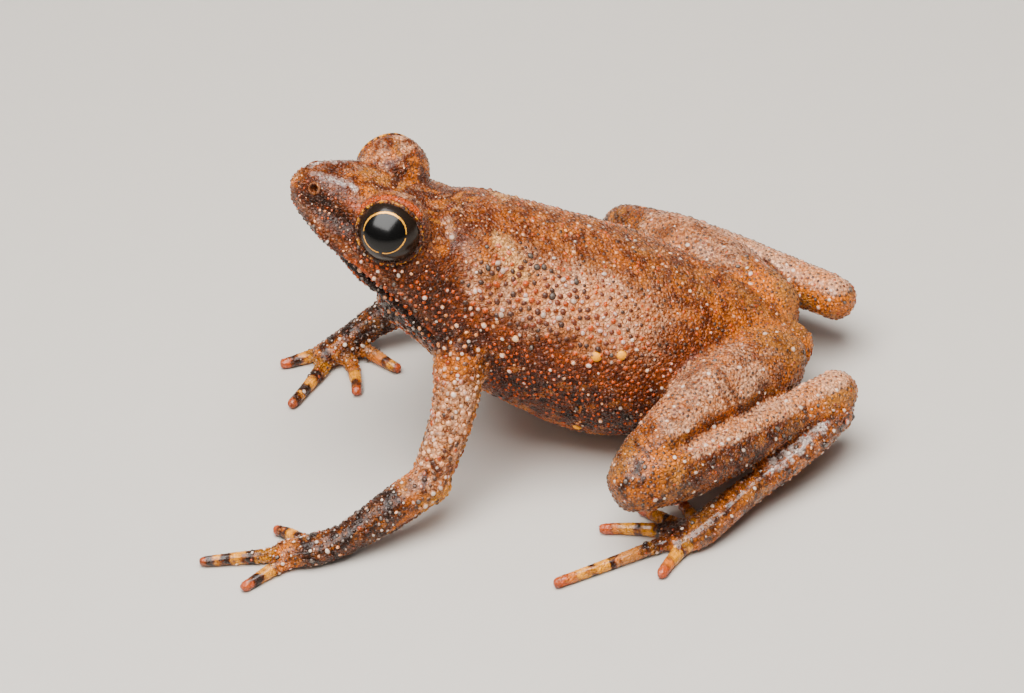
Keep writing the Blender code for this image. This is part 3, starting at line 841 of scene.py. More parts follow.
BAND_STRENGTH = {"dark": 0.66, "yellow": 0.85, "red": 0.85, "orange": 0.80}


def trunk_angle(points):
    """Degrees above the trunk's level line: 90 on the spine, 0 at the side, -90 on the belly."""
    place, height = trunk_place(points)
    stations = np.array(TRUNK_STATIONS)
    level = np.interp(place, stations[:, 0], stations[:, 1])
    return np.degrees(np.arctan2(height - level, np.abs(points[:, 0])))


def lay(paint, pigment, amount):
    """Paint one pigment over the others: what is under it gives way."""
    for name in PIGMENTS:
        paint[name] = paint[name] * (1 - amount)
    paint[pigment] = paint[pigment] + amount


def lay_bands(paint, bands, belongs, from_tip):
    for number, (start, pigment) in enumerate(bands):
        end = bands[number + 1][0] if number + 1 < len(bands) else np.inf
        inside = ramp(from_tip, start - BAND_EDGE, start + BAND_EDGE) if start else np.ones_like(from_tip)
        if np.isfinite(end):
            inside = inside * (1 - ramp(from_tip, end - BAND_EDGE, end + BAND_EDGE))
        lay(paint, pigment, inside * belongs * BAND_STRENGTH[pigment])


print("pigments:", *PIGMENTS)

# %% [markdown]
# Colours of the trunk
#
# The trunk is painted by how high round the body a point lies: golden brown on the back, a band
# of pale net along the side, a dark flank, and a dark belly with orange. A cream patch with an
# ember edge lies behind the head. Slow waves bend each edge, so that none looks ruled.

# %% Trunk colours
CREAM_PATCH = ((1.35, 0.10, 8.90), (1.60, 0.35, 8.60), (2.10, 0.55, 8.05))
EMBER_PATCH = ((1.60, -0.55, 8.75), (2.30, -0.30, 8.00))


def paint_trunk(paint, points):
    angle = trunk_angle(points) + 10 * wave(points, (2.4, 1.7, 1.2, 0.8, 0.5), 11)
    place, _ = trunk_place(points)
    blotches = ramp(wave(points, (1.9, 1.4, 1.0, 0.8), 17), 0.10, 0.55)
    lay(paint, "orange", 0.50 * ramp(angle, 26, 58))
    lay(paint, "pale", 0.24 * ramp(angle, 34, 56) * (1 - ramp(place, 13.0, 17.0)))
    lay(paint, "dark", 0.26 * blotches * ramp(angle, 45, 70))
    band = window(angle, 4, 36, 46, 74) * window(place, 5.0, 7.0, 11.0, 15.5)
    lay(paint, "pale", 0.72 * band)
    lay(paint, "dark", 0.56 * ramp(-angle, -14, 8) * (1 - ramp(-angle, 30, 50)))
    mottle = ramp(wave(points, (1.1, 0.8, 0.6), 19), 0.0, 0.6)
    lay(paint, "orange", 0.45 * hump(angle + 12, 24) * mottle)
    lay(paint, "orange", 0.62 * ramp(-angle, 24, 56))
    specks = ramp(wave(points, (1.3, 0.9, 0.7, 0.55), 23), 0.30, 0.5)
    lay(paint, "dark", 0.60 * specks * ramp(-angle, -4, 20))
    lay(paint, "orange", 0.80 * hump(line_distance(points, EMBER_PATCH), 0.45))
    lay(paint, "cream", 0.74 * hump(line_distance(points, CREAM_PATCH), 0.60) * (0.7 + 0.3 * mottle))
    lay(paint, "orange", 0.55 * ramp(place, 17.6, 18.8))


print("cream patch at", CREAM_PATCH[1], "and ember patch at", EMBER_PATCH[0])

# %% [markdown]
# Colours of the head
#
# The head is dark and flecked with grey, most of all on its sides. The snout's top and tip are
# ochre, a painted highlight of ash grey runs from above the nostril to the eye along the ridge, the
# hollow in front of the eye is dark, partly its own colour and partly painted shade, and the jaw is
# dark under a red edge. The pit of the nostril is painted dark as painted shade. Each eye has a
# gilded margin and a red crescent above it.

# %% Head colours
def paint_lids(paint, points):
    """A dark, smooth lid with a thin gilded margin, and a mottled dome above it."""
    for sign in (1, -1):
        _, distance, outward, angle, opening = lid_opening(points, sign)
        near = (distance < NEAR_EYE).astype(float)
        past = angle - opening
        dome_top = near * ramp(outward[:, 2], 0.35, 0.75)
        lay(paint, "pale", 0.50 * dome_top * ramp(wave(points, (1.0, 0.7, 0.5), 41), -0.3, 0.4))
        lay(paint, "orange", 0.35 * dome_top * ramp(wave(points, (0.9, 0.6, 0.5), 43), 0.0, 0.5))
        lay(paint, "dark", 0.50 * near * ramp(past, -0.06, 0.0) * (1 - ramp(past, 0.10, 0.20)))
        gilding = ramp(wave(points, (0.30, 0.22, 0.16), 45), -0.4, 0.2)
        lay(paint, "yellow", 0.90 * near * hump(past - 0.07, 0.06) * gilding)
        crescent = hump(past - 0.26, 0.10) * ramp(outward[:, 2], 0.30, 0.60)
        lay(paint, "red", 0.90 * near * crescent)


def paint_head(paint, points):
    place, height = head_place(points)
    on_head = 1 - ramp(place, *HEAD_END)
    on_top = ramp(height, 0.5, 1.1)
    lay(paint, "dark", 0.40 * on_head)
    lay(paint, "dark", 0.28 * on_head * (1 - on_top))
    blotches = ramp(wave(points, (1.4, 1.0, 0.7, 0.5), 37), 0.05, 0.5)
    lay(paint, "orange", 0.50 * on_head * on_top * blotches)
    lay(paint, "pale", 0.32 * on_head * on_top * ramp(wave(points, (0.9, 0.6, 0.45), 39), 0.1, 0.6))
    lay(paint, "orange", 0.66 * hump(line_distance(points, SNOUT_TOP), 0.34))
    # The hollow in front of the eye is painted dark: partly its own dark colour, partly painted shade in the
    # hollow.
    lay(paint, "dark", 0.80 * hump(line_distance(points, SNOUT_HOLLOW), 0.42))
    tip = hump(line_distance(points, (SNOUT_TIP, SNOUT_TIP)), 0.40)
    lay(paint, "orange", 0.70 * tip)
    lay(paint, "cream", 0.35 * tip)
    grey = ramp(wave(points, (0.55, 0.42, 0.32), 61), 0.12, 0.50)
    lay(paint, "ash_and_sheen", 0.22 * on_head * grey)
    # Painted highlight: an ash-grey streak along the ridge from above the nostril to the eye, where wet skin
    # would mirror the light.
    lay(paint, "ash_and_sheen", (0.46 + 0.16 * grey) * hump(line_distance(points, STREAK_LINE), 0.20))
    lay(paint, "ash_and_sheen", 0.42 * hump(line_distance(points, NAPE_LINE), 0.45))
    above_mouth, mouth_place = mouth_distance(points)
    on_lip = ramp(mouth_place, *MOUTH_FRONT) * (1 - ramp(mouth_place, 6.0, 6.8))
    lay(paint, "pale", 0.34 * on_lip * hump(above_mouth - 0.42, 0.20))
    patches = ramp(wave(points, (0.8, 0.6, 0.5), 47), -0.1, 0.3)
    lay(paint, "red", 0.70 * on_lip * hump(above_mouth - 0.14, 0.12) * patches * ramp(mouth_place, 2.0, 2.8))
    lay(paint, "dark", 0.70 * on_lip * ramp(-above_mouth, -0.05, 0.02) * (1 - ramp(-above_mouth, 0.45, 0.9)))
    chin = on_head * ramp(-above_mouth, 0.6, 1.2) * ramp(wave(points, (1.2, 0.8, 0.6), 49), -0.1, 0.4)
    lay(paint, "orange", 0.45 * chin)
    rim = line_distance(points, NOSTRIL)
    lay(paint, "pale", 0.45 * hump(rim - 0.18, 0.06))
    lay(paint, "orange", 0.45 * hump(rim - 0.18, 0.06))
    # Painted shade: the pit of the nostril is painted dark.
    lay(paint, "dark", hump(rim, 0.10))
    paint_lids(paint, points)


print("streak over the nostril has", len(STREAK_LINE), "places")

# %% [markdown]
# Colours of the limbs
#
# Each part of a limb has a short recipe: its ground first, then what lies on top, then darker
# flecks. The share along the path says where a colour begins, and a slow wave added to it lets
# that edge wander. Arms are creamy, with yellow under the elbow, and the faces that turn out and
# up are painted paler as painted sheen. Legs are pinkish on top with orange knees, and that pale
# top of thigh and shank is partly painted sheen. The tarsus has a painted sheen of ash grey on its
# upward faces, and the digits are banded.

# %% Limb patterns
ELBOW_PATCHES = (((5.15, -2.45, 1.15), (5.60, -3.30, 0.95)), ((6.10, -1.70, 1.50), (6.05, -2.60, 1.25)))
limb_top = ramp(skin_normals[:, 2], -0.1, 0.65)
limb_crest = ramp(skin_normals[:, 2], 0.45, 0.85)
limb_side = ramp(skin_normals[:, 2], -0.6, -0.1)
limb_patch = ramp(wave(skin_points, (1.6, 1.1, 0.8, 0.6), 31), 0.05, 0.45)
limb_fleck = ramp(wave(skin_points, (0.9, 0.65, 0.5, 0.4), 33), 0.10, 0.45)
limb_mottle = ramp(wave(skin_points, (0.8, 0.55, 0.4, 0.3), 35), -0.2, 0.4)
limb_drift = wave(skin_points, (1.3, 0.9, 0.6, 0.4), 36)
print("flecks cover", round(float(limb_fleck.mean()), 2), "and patches", round(float(limb_patch.mean()), 2))

# %% Arm colours
def paint_upper_arm(paint, side, facing):
    belongs, share, _ = regions["upper_arm_" + side]
    wobbly = share + 0.10 * limb_drift
    lay(paint, "orange", 0.80 * belongs * ramp(wobbly, 0.05, 0.30))
    # Painted sheen: cream and pale on the faces that turn out and up, partly the arm's own creamy colour and
    # partly painted light.
    sheen = belongs * ramp(facing, 0.25, 0.75) * ramp(wobbly, 0.20, 0.45)
    lay(paint, "cream", 0.50 * sheen)
    lay(paint, "pale", 0.76 * sheen * (0.5 + 0.5 * limb_mottle))
    lay(paint, "dark", 0.14 * belongs * limb_fleck * ramp(wobbly, 0.35, 0.60))
    lay(paint, "dark", (0.10 + 0.45 * limb_fleck) * belongs * ramp(wobbly, 0.80, 0.95))


def paint_forearm(paint, side, facing):
    belongs, share, _ = regions["forearm_" + side]
    wobbly = share + 0.10 * limb_drift
    lay(paint, "orange", 0.70 * belongs)
    # Painted highlight: pale on the faces that turn out and up, near the elbow.
    lay(paint, "pale", 0.48 * belongs * facing * (1 - ramp(wobbly, 0.10, 0.40)))
    lay(paint, "dark", 0.10 * belongs * facing * (1 - ramp(share, 0.10, 0.30)))
    lay(paint, "dark", 0.58 * belongs * ramp(wobbly, 0.15, 0.40))
    lay(paint, "dark", 0.62 * belongs * limb_fleck * limb_top)
    lay(paint, "yellow", 0.55 * belongs * (1 - limb_top) * (1 - ramp(share, 0.10, 0.50)))
    lay(paint, "orange", 0.65 * belongs * (1 - limb_top) * limb_patch)
    for line in ELBOW_PATCHES:
        lay(paint, "yellow", 0.90 * belongs * hump(line_distance(skin_points, line), 0.34))


def paint_hand(paint, side):
    belongs, share, _ = regions["hand_" + side]
    lay(paint, "orange", 0.66 * belongs)
    lay(paint, "yellow", 0.40 * belongs * (1 - limb_top))
    lay(paint, "dark", 0.50 * belongs * (1 - ramp(share, 0.4, 1.0)))
    lay(paint, "dark", 0.60 * belongs * limb_fleck)


print("elbow patches", len(ELBOW_PATCHES))

# %% Leg colours
def paint_thigh(paint, side):
    belongs, share, _ = regions["thigh_" + side]
    wobbly = share + 0.09 * limb_drift
    lay(paint, "orange", 0.55 * belongs)
    # Pale on the thigh's upward faces: partly its own pinkish colour, partly painted sheen.
    lay(paint, "pale", 0.60 * belongs * limb_top * window(wobbly, 0.0, 0.25, 0.74, 0.92))
    knee = belongs * ramp(wobbly, 0.74, 0.92)
    lay(paint, "orange", 0.90 * knee)
    lay(paint, "red", 0.34 * knee * limb_mottle)
    lay(paint, "dark", (0.16 + 0.26 * limb_top) * knee)
    lay(paint, "dark", 0.50 * knee * limb_fleck)
    lay(paint, "dark", 0.35 * belongs * limb_patch * window(share, 0.1, 0.3, 0.6, 0.8))


def paint_shank(paint, side):
    belongs, share, _ = regions["shank_" + side]
    wobbly = share + 0.07 * limb_drift
    lay(paint, "orange", 0.66 * belongs)
    # Pale on the shank's upward crest: partly its own colour, partly painted sheen.
    lay(paint, "pale", 0.82 * belongs * limb_crest * ramp(wobbly, 0.10, 0.3))
    darker = belongs * window(wobbly, 0.0, 0.2, 0.66, 0.90) * (1 - 0.8 * limb_crest)
    lay(paint, "dark", 0.26 * darker * limb_patch)
    lay(paint, "red", 0.25 * darker)
    lay(paint, "dark", 0.28 * darker)
    flecked = belongs * limb_fleck * (1 - 0.4 * limb_crest)
    lay(paint, "dark", 0.36 * flecked * (1 - ramp(wobbly, 0.80, 0.95)))
    knee = belongs * (1 - ramp(wobbly, 0.03, 0.16))
    lay(paint, "orange", 0.85 * knee)
    lay(paint, "dark", 0.36 * knee)
    lay(paint, "dark", 0.40 * knee * limb_fleck)
    lay(paint, "orange", 0.70 * belongs * ramp(share, 0.90, 1.0) * (1 - limb_top))


def paint_tarsus(paint, side):
    belongs, _, _ = regions["tarsus_" + side]
    lay(paint, "orange", 0.62 * belongs)
    lay(paint, "dark", 0.32 * belongs * (1 - 0.5 * limb_crest) * limb_side)
    lay(paint, "dark", 0.38 * belongs * limb_fleck * (1 - 0.3 * limb_crest))
    # Painted sheen: ash grey on the faces that turn upwards, where wet skin mirrors the light above.
    sheen = ramp(skin_normals[:, 2], 0.30, 0.75)
    lay(paint, "ash_and_sheen", 0.85 * belongs * sheen * (0.35 + 0.65 * limb_mottle))


def paint_foot(paint, side):
    belongs, share, _ = regions["foot_" + side]
    lay(paint, "orange", 0.70 * belongs)
    lay(paint, "yellow", 0.40 * belongs * limb_mottle)
    lay(paint, "dark", 0.22 * belongs * (1 - ramp(share, 0.5, 1.0)) * limb_side)
    lay(paint, "dark", 0.38 * belongs * limb_fleck)


def paint_limbs(paint):
    for side, sign in (("left", 1), ("right", -1)):
        # How far each face turns outward and upward; the arms' painted sheen follows it.
        facing = ramp(skin_normals[:, 0] * sign + skin_normals[:, 2], 0.1, 1.0)
        paint_upper_arm(paint, side, facing)
        paint_forearm(paint, side, facing)
        paint_hand(paint, side)
        paint_thigh(paint, side)
        paint_shank(paint, side)
        paint_tarsus(paint, side)
        paint_foot(paint, side)


print("limbs to paint:", sorted({name.split("_")[0] for name in regions if "digit" not in name}))

# %% Digit colours and the whole skin
def paint_digits(paint, points, normals):
    for name, (belongs, share, from_tip) in regions.items():
        if "digit" not in name:
            continue
        firm = ramp(belongs, 0.45, 0.8) * ramp(share, 0.14, 0.26)
        bands = TOE_BANDS if name.startswith("foot") else FINGER_BANDS[int(name[-1])]
        fleck = wave(points, (0.5, 0.35, 0.28), 53)
        lay_bands(paint, bands, firm, from_tip + 0.24 + 0.12 * fleck)
        bright = paint["yellow"] * (1 - ramp(fleck, -0.1, 0.5))
        lay(paint, "cream", 0.25 * firm * bright)
        lay(paint, "orange", 0.35 * firm * ramp(fleck, 0.0, 0.5))
        lay(paint, "dark", 0.16 * firm * ramp(wave(points, (0.6, 0.42, 0.3), 57), 0.25, 0.6))
        base = ramp(belongs, 0.45, 0.8) * (1 - ramp(share, *DIGIT_BASE[name.split("_")[0]]))
        lay(paint, "dark", 0.28 * base * ramp(normals[:, 2], -0.1, 0.5))


def paint_skin(points, normals):
    paint = {name: np.zeros(len(points)) for name in PIGMENTS}
    paint_trunk(paint, points)
    paint_head(paint, points)
    paint_limbs(paint)
    paint_digits(paint, points, normals)
    return {name: np.clip(amount, 0, 1) for name, amount in paint.items()}


skin_paint = paint_skin(skin_points, skin_normals)
print({name: round(float(amount.mean()), 3) for name, amount in skin_paint.items()})

# %% [markdown]
# Arrays into meshes
#
# A mesh of this size is far quicker to fill from arrays than face by face. One helper makes
# any mesh here, moves it from the toad's millimetres into the scene, and stores the pigment
# amounts as attributes that the materials read.

# %% Mesh maker
def add_amount(mesh, key, values):
    """A number or a direction for each point of a mesh."""
    single = values.ndim == 1
    layer = mesh.attributes.new(key, "FLOAT" if single else "FLOAT_VECTOR", "POINT")
    layer.data.foreach_set("value" if single else "vector", values.astype(np.float32).ravel())


def make_piece(name, points, triangles, attributes):
    """A named piece from arrays, smooth shaded, with its number attributes."""
    mesh = bpy.data.meshes.new(name)
    mesh.vertices.add(len(points))
    world = points * MM + np.array(STAND_SHIFT)
    mesh.vertices.foreach_set("co", world.astype(np.float32).ravel())
    mesh.loops.add(triangles.size)
    mesh.loops.foreach_set("vertex_index", triangles.astype(np.int32).ravel())
    mesh.polygons.add(len(triangles))
    mesh.polygons.foreach_set("loop_start", np.arange(0, triangles.size, 3, dtype=np.int32))
    mesh.update(calc_edges=True)
    mesh.validate()
    mesh.shade_smooth()
    for key, values in attributes.items():
        add_amount(mesh, key, values)
    piece = bpy.data.objects.new(name, mesh)
    bpy.context.scene.collection.objects.link(piece)
    return piece


def regions_bared(points):
    """Where the skin shows without granules, as on the digits."""
    bared = np.zeros(len(points))
    for name, (belongs, share, _) in regions.items():
        if "digit" in name:
            bared = np.maximum(bared, ramp(belongs, 0.4, 0.8) * ramp(share, *DIGIT_BASE[name.split("_")[0]]))
    return bared


skin = make_piece("skin", skin_points, skin_faces,
                  {**skin_paint, "bared": regions_bared(skin_points)})
print("skin piece has", len(skin.data.polygons), "triangles")

# %% [markdown]
# Unwrapping the skin
#
# The skin is unwrapped once here into a flat map, and each granule later takes a tiny patch of
# the same map at the place of its root, so granule and skin agree on what colour belongs where.

# %% Unwrap
UNWRAP_ANGLE = math.radians(72.0)
ISLAND_MARGIN = 0.002


def unwrap(piece):
    """Give a piece its flat map, and return the map's place for each triangle corner."""
    layer = piece.data.uv_layers.new(name="OFBake")
    bpy.context.view_layer.objects.active = piece
    piece.select_set(True)
    bpy.ops.object.mode_set(mode="EDIT")
    bpy.ops.mesh.select_all(action="SELECT")
    bpy.ops.uv.smart_project(angle_limit=UNWRAP_ANGLE, island_margin=ISLAND_MARGIN)
    bpy.ops.object.mode_set(mode="OBJECT")
    piece.select_set(False)
    flat = np.empty(len(piece.data.loops) * 2, dtype=np.float32)
    piece.data.uv_layers["OFBake"].data.foreach_get("uv", flat)
    return flat.reshape(-1, 3, 2)


skin_map = unwrap(skin)
print("unwrapped", len(skin_map), "triangles, map spans", np.round(skin_map.reshape(-1, 2).max(axis=0), 2))

# %% [markdown]
# Shader arithmetic
#
# A material is a net of small boxes. Written one box at a time it is hard to read, so one small
# class wraps an output socket and lets it be added, subtracted, multiplied and divided like a
# number. Colours mustn't pass through those boxes, which would turn them grey: they are mixed
# by a box of their own. Everything else comes from one method that makes any node.

# %% Wire
class Wire:
    """One output socket, with ordinary arithmetic on its value."""

    def __init__(self, finish, socket):
        self.finish = finish
        self.socket = socket

    def sum_up(self, operation, first, second):
        return self.finish.node("ShaderNodeMath", {"operation": operation}, {0: first, 1: second})

    def __add__(self, other):
        return self.sum_up("ADD", self, other)

    __radd__ = __add__

    def __sub__(self, other):
        return self.sum_up("SUBTRACT", self, other)

    def __rsub__(self, other):
        return self.sum_up("SUBTRACT", other, self)

    def __mul__(self, other):
        return self.sum_up("MULTIPLY", self, other)

    __rmul__ = __mul__

    def __truediv__(self, other):
        return self.sum_up("DIVIDE", self, other)

    def __rtruediv__(self, other):
        return self.sum_up("DIVIDE", other, self)

    def at_most(self, other):
        return self.sum_up("MINIMUM", self, other)


print("a wire can be added, taken away, multiplied and divided")

# %% A finish and its nodes
class Finish:
    """A material and its nodes."""

    def __init__(self, name):
        self.material = bpy.data.materials.new(name)
        self.material.use_nodes = True
        self.tree = self.material.node_tree
        self.tree.nodes.clear()

    def node(self, kind, settings, inputs, output=0):
        made = self.tree.nodes.new(kind)
        for key, value in settings.items():
            setattr(made, key, value)
        for key, value in inputs.items():
            if isinstance(value, Wire):
                self.tree.links.new(value.socket, made.inputs[key])
            else:
                made.inputs[key].default_value = value
        return Wire(self, made.outputs[output])

    def amount(self, name):
        """A number stored on the mesh."""
        return self.node("ShaderNodeAttribute", {"attribute_name": name}, {}, "Fac")

    def soft(self, value, low, high):
        """Zero below low, one above high, softly between."""
        return self.node("ShaderNodeMapRange", {"interpolation_type": "SMOOTHSTEP"},
                         {"Value": value, "From Min": low, "From Max": high})

    def mix(self, factor, first, second):
        """Two colours mixed."""
        colours = {6: first, 7: second}
        colours = {key: value if isinstance(value, Wire) else (*value, 1.0)
                   for key, value in colours.items()}
        return self.node("ShaderNodeMix", {"data_type": "RGBA"}, {0: factor, **colours}, 2)

    def noise(self, place, scale, detail, roughness=0.5):
        return self.node("ShaderNodeTexNoise", {}, {"Vector": place, "Scale": scale,
                                                    "Detail": detail, "Roughness": roughness})

    def millimetres(self):
        """The place on the object, in millimetres."""
        place = self.node("ShaderNodeTexCoord", {}, {}, "Object")
        return self.node("ShaderNodeVectorMath", {"operation": "SCALE"}, {0: place, "Scale": 1 / MM})

    def surface(self, varying, fixed):
        """Close the material: what varies and what is the same all over."""
        shader = self.node("ShaderNodeBsdfPrincipled", {}, {**fixed, **varying})
        end = self.tree.nodes.new("ShaderNodeOutputMaterial")
        self.tree.links.new(shader.socket, end.inputs["Surface"])
        return self.material


print("shader arithmetic ready")

# %% [markdown]
# The skin's finish
#
# The pigments are laid one over the other, as a model painter would: reddish brown ground, then
# orange, red, yellow, pale, cream, ash grey (also painted sheen) and dark. Each amount is pushed up
# and down by noise, so that a soft edge becomes a ragged one. The furrows are painted darker, partly
# the skin's own dark net and partly painted shade in the creases, and where the skin is wet, as on
# the feet, a broken film of clear coat lies over it. The same paint serves skin and granules, so both
# carry the same markings. A granule adds its own tip: on most a pale horny point that catches the
# light, on others a dark one. Its root is painted darker as painted shade where it meets the skin,
# except where the skin's pale net runs round it.

# %% Skin paint
GROUND = (0.105, 0.017, 0.003)
GROUND_LIGHT = (0.250, 0.052, 0.007)
ORANGE = (0.720, 0.175, 0.008)
OCHRE = (0.520, 0.180, 0.025)
RED = (0.480, 0.070, 0.008)
YELLOW = (0.950, 0.360, 0.000)
PALE = (0.860, 0.430, 0.235)
SALMON = (0.780, 0.270, 0.085)
CREAM = (1.000, 0.480, 0.150)
# Ash grey: grey flecks on the head, and painted sheen and painted highlight on the snout's streak and the
# tarsus.
ASH_AND_SHEEN = (0.720, 0.570, 0.500)
DARK = (0.016, 0.006, 0.003)
WHITE_TIP = (0.700, 0.570, 0.480)
DARK_TIP = (0.050, 0.027, 0.020)
SKIN_ROUGHNESS = 0.30
SKIN_SPECULAR = 0.22
COAT_ROUGHNESS = 0.12
WRINKLE_SCALE = 7.0
WRINKLE_DEPTH = 0.040
FURROW_DARKNESS = 0.42


def ragged(finish, name, mottle, spread):
    """A pigment's amount with its edge broken up by noise."""
    amount = finish.amount(name)
    pushed = amount + (mottle - 0.5) * spread
    return finish.soft(pushed, 0.15, 0.85) * (amount * 3.0).at_most(1.0)


def toad_paint(finish):
    place = finish.millimetres()
    mottle = finish.noise(place, 2.1, 4.0, 0.65)
    cloud = finish.noise(place, 0.8, 3.0)
    grit = finish.noise(place, 8.0, 3.0, 0.65)
    ground = finish.mix(finish.soft(mottle, 0.38, 0.66), GROUND, GROUND_LIGHT)
    orange = finish.mix(finish.soft(cloud, 0.42, 0.60), ORANGE, OCHRE)
    colour = finish.mix(ragged(finish, "orange", mottle, 1.3), ground, orange)
    colour = finish.mix(ragged(finish, "red", grit, 1.0), colour, RED)
    colour = finish.mix(ragged(finish, "yellow", grit, 0.7), colour, YELLOW)
    pale = finish.mix(finish.soft(grit * 0.5 + cloud * 0.5, 0.42, 0.58), SALMON, PALE)
    colour = finish.mix(ragged(finish, "pale", grit, 1.1), colour, pale)
    colour = finish.mix(ragged(finish, "cream", grit, 0.8), colour, CREAM)
    colour = finish.mix(ragged(finish, "ash_and_sheen", grit, 0.9), colour, ASH_AND_SHEEN)
    colour = finish.mix(ragged(finish, "dark", grit, 1.2), colour, DARK)
    return colour, place, grit


def skin_finish():
    finish = Finish("toad_skin")
    colour, place, grit = toad_paint(finish)
    cells = finish.node("ShaderNodeTexVoronoi", {"feature": "DISTANCE_TO_EDGE"},
                        {"Vector": place, "Scale": WRINKLE_SCALE, "Randomness": 0.9})
    # Painted shade in the furrows between wrinkle cells, partly the skin's own dark net.
    furrow = (1 - finish.soft(cells, 0.0, 0.22)) * FURROW_DARKNESS * (1 - finish.amount("bared") * 0.9)
    colour = finish.mix(furrow, colour, DARK)
    wrinkle = finish.soft(cells, 0.0, 0.25) + grit * 0.35
    wrinkle = wrinkle * (1 - finish.amount("bared") * 0.5)
    relief = finish.node("ShaderNodeBump", {},
                         {"Strength": 1.0, "Distance": WRINKLE_DEPTH * MM, "Height": wrinkle})
    rough = SKIN_ROUGHNESS - 0.12 + grit * 0.20
    film = finish.soft(finish.noise(place, 3.2, 3.0, 0.6), 0.40, 0.54) * finish.amount("wet")
    return finish.surface({"Base Color": colour, "Roughness": rough, "Normal": relief, "Coat Weight": film},
                          {"Specular IOR Level": SKIN_SPECULAR, "Coat Roughness": COAT_ROUGHNESS})


def granule_finish():
    finish = Finish("toad_granules")
    colour, _, grit = toad_paint(finish)
    rise = finish.amount("rise")
    colour = finish.mix(finish.amount("tone") * 0.35, colour, DARK)
    # Painted shade: each granule's root is darkened where it meets the skin, or pale where the skin's net is
    # pale.
    root = finish.mix(finish.amount("net"), finish.mix(0.60, colour, DARK), PALE)
    colour = finish.mix(finish.soft(rise, 0.05, 0.55), root, colour)
    colour = finish.mix(finish.amount("dark_tip") * finish.soft(rise, 0.00, 0.50), colour, DARK_TIP)
    colour = finish.mix(finish.amount("white_tip") * finish.soft(rise, 0.42, 0.88), colour, WHITE_TIP)
    rough = SKIN_ROUGHNESS - 0.17 + grit * 0.20 + finish.amount("yellow") * 0.35
    return finish.surface({"Base Color": colour, "Roughness": rough, "Coat Weight": finish.amount("wet")},
                          {"Specular IOR Level": SKIN_SPECULAR, "Coat Roughness": COAT_ROUGHNESS})


print("skin paint mixed from", len(PIGMENTS), "pigments")

# %% [markdown]
# Where granules grow
#
# The skin of a toad is paved with granules. They are small and tight on the snout and thighs,
# large along the sides of the back, and loose on the flanks with dark skin between. On pale
# skin most of them are reddish cones with a dark point, and on dark skin they are red, grey or
# white-tipped. So each zone is a row of numbers: spacing, radius and height, then the shares of
# granules with a white tip, with a dark tip, with a red body and with a pale one, the shares of
# big warts and of fine grains, how much of the skin's own pale pigment a granule keeps, and last
# how wet the skin is there. A zone's place comes from the same regions as the pigments, with a
# ragged edge.

# %% Granule zones
FIELDS = ("spacing", "radius", "height", "white", "dark", "red", "pale", "wart", "fine", "keep", "wet")
GRANULE_ZONES = {
    "back": (0.165, 0.078, 0.62, 0.10, 0.34, 0.12, 0.06, 0.03, 0.40, 0.45, 0.02),
    "band": (0.238, 0.126, 0.88, 0.20, 0.68, 0.92, 0.02, 0.10, 0.10, 0.08, 0.10),
    "flank": (0.180, 0.076, 0.85, 0.12, 0.16, 0.58, 0.04, 0.11, 0.30, 0.25, 0.05),
    "belly": (0.240, 0.100, 0.40, 0.03, 0.02, 0.20, 0.00, 0.01, 0.10, 0.50, 0.10),
    "crown": (0.135, 0.048, 0.60, 0.05, 0.50, 0.10, 0.08, 0.01, 0.15, 0.90, 0.20),
    "snout_ridge": (0.170, 0.026, 0.60, 0.00, 0.60, 0.00, 0.20, 0.00, 0.00, 1.00, 0.90),
    "snout_side": (0.145, 0.056, 0.80, 0.14, 0.16, 0.30, 0.16, 0.06, 0.25, 0.60, 0.12),
    "cheek": (0.205, 0.088, 0.95, 0.26, 0.08, 0.50, 0.12, 0.34, 0.15, 0.50, 0.08),
    "upper_arm": (0.205, 0.108, 0.52, 0.32, 0.30, 0.16, 0.40, 0.08, 0.05, 0.95, 0.25),
    "forearm": (0.190, 0.088, 0.62, 0.28, 0.32, 0.06, 0.04, 0.50, 0.10, 0.60, 0.25),
    "hand": (0.165, 0.066, 0.62, 0.26, 0.40, 0.10, 0.05, 0.42, 0.10, 0.80, 0.35),
    "digit": (0.140, 0.028, 0.50, 0.06, 0.00, 0.00, 0.00, 0.00, 0.00, 1.00, 0.60),
    "thigh": (0.150, 0.070, 0.50, 0.05, 0.92, 0.14, 0.02, 0.10, 0.00, 1.00, 0.18),
    "shank": (0.152, 0.068, 0.52, 0.06, 0.82, 0.14, 0.02, 0.32, 0.00, 0.95, 0.30),
    "tarsus": (0.160, 0.066, 0.65, 0.16, 0.50, 0.10, 0.05, 0.50, 0.00, 0.90, 0.90),
    "foot": (0.150, 0.050, 0.55, 0.18, 0.26, 0.10, 0.05, 0.24, 0.00, 0.90, 0.85),
}
print(len(GRANULE_ZONES), "granule zones of", len(FIELDS), "numbers each")

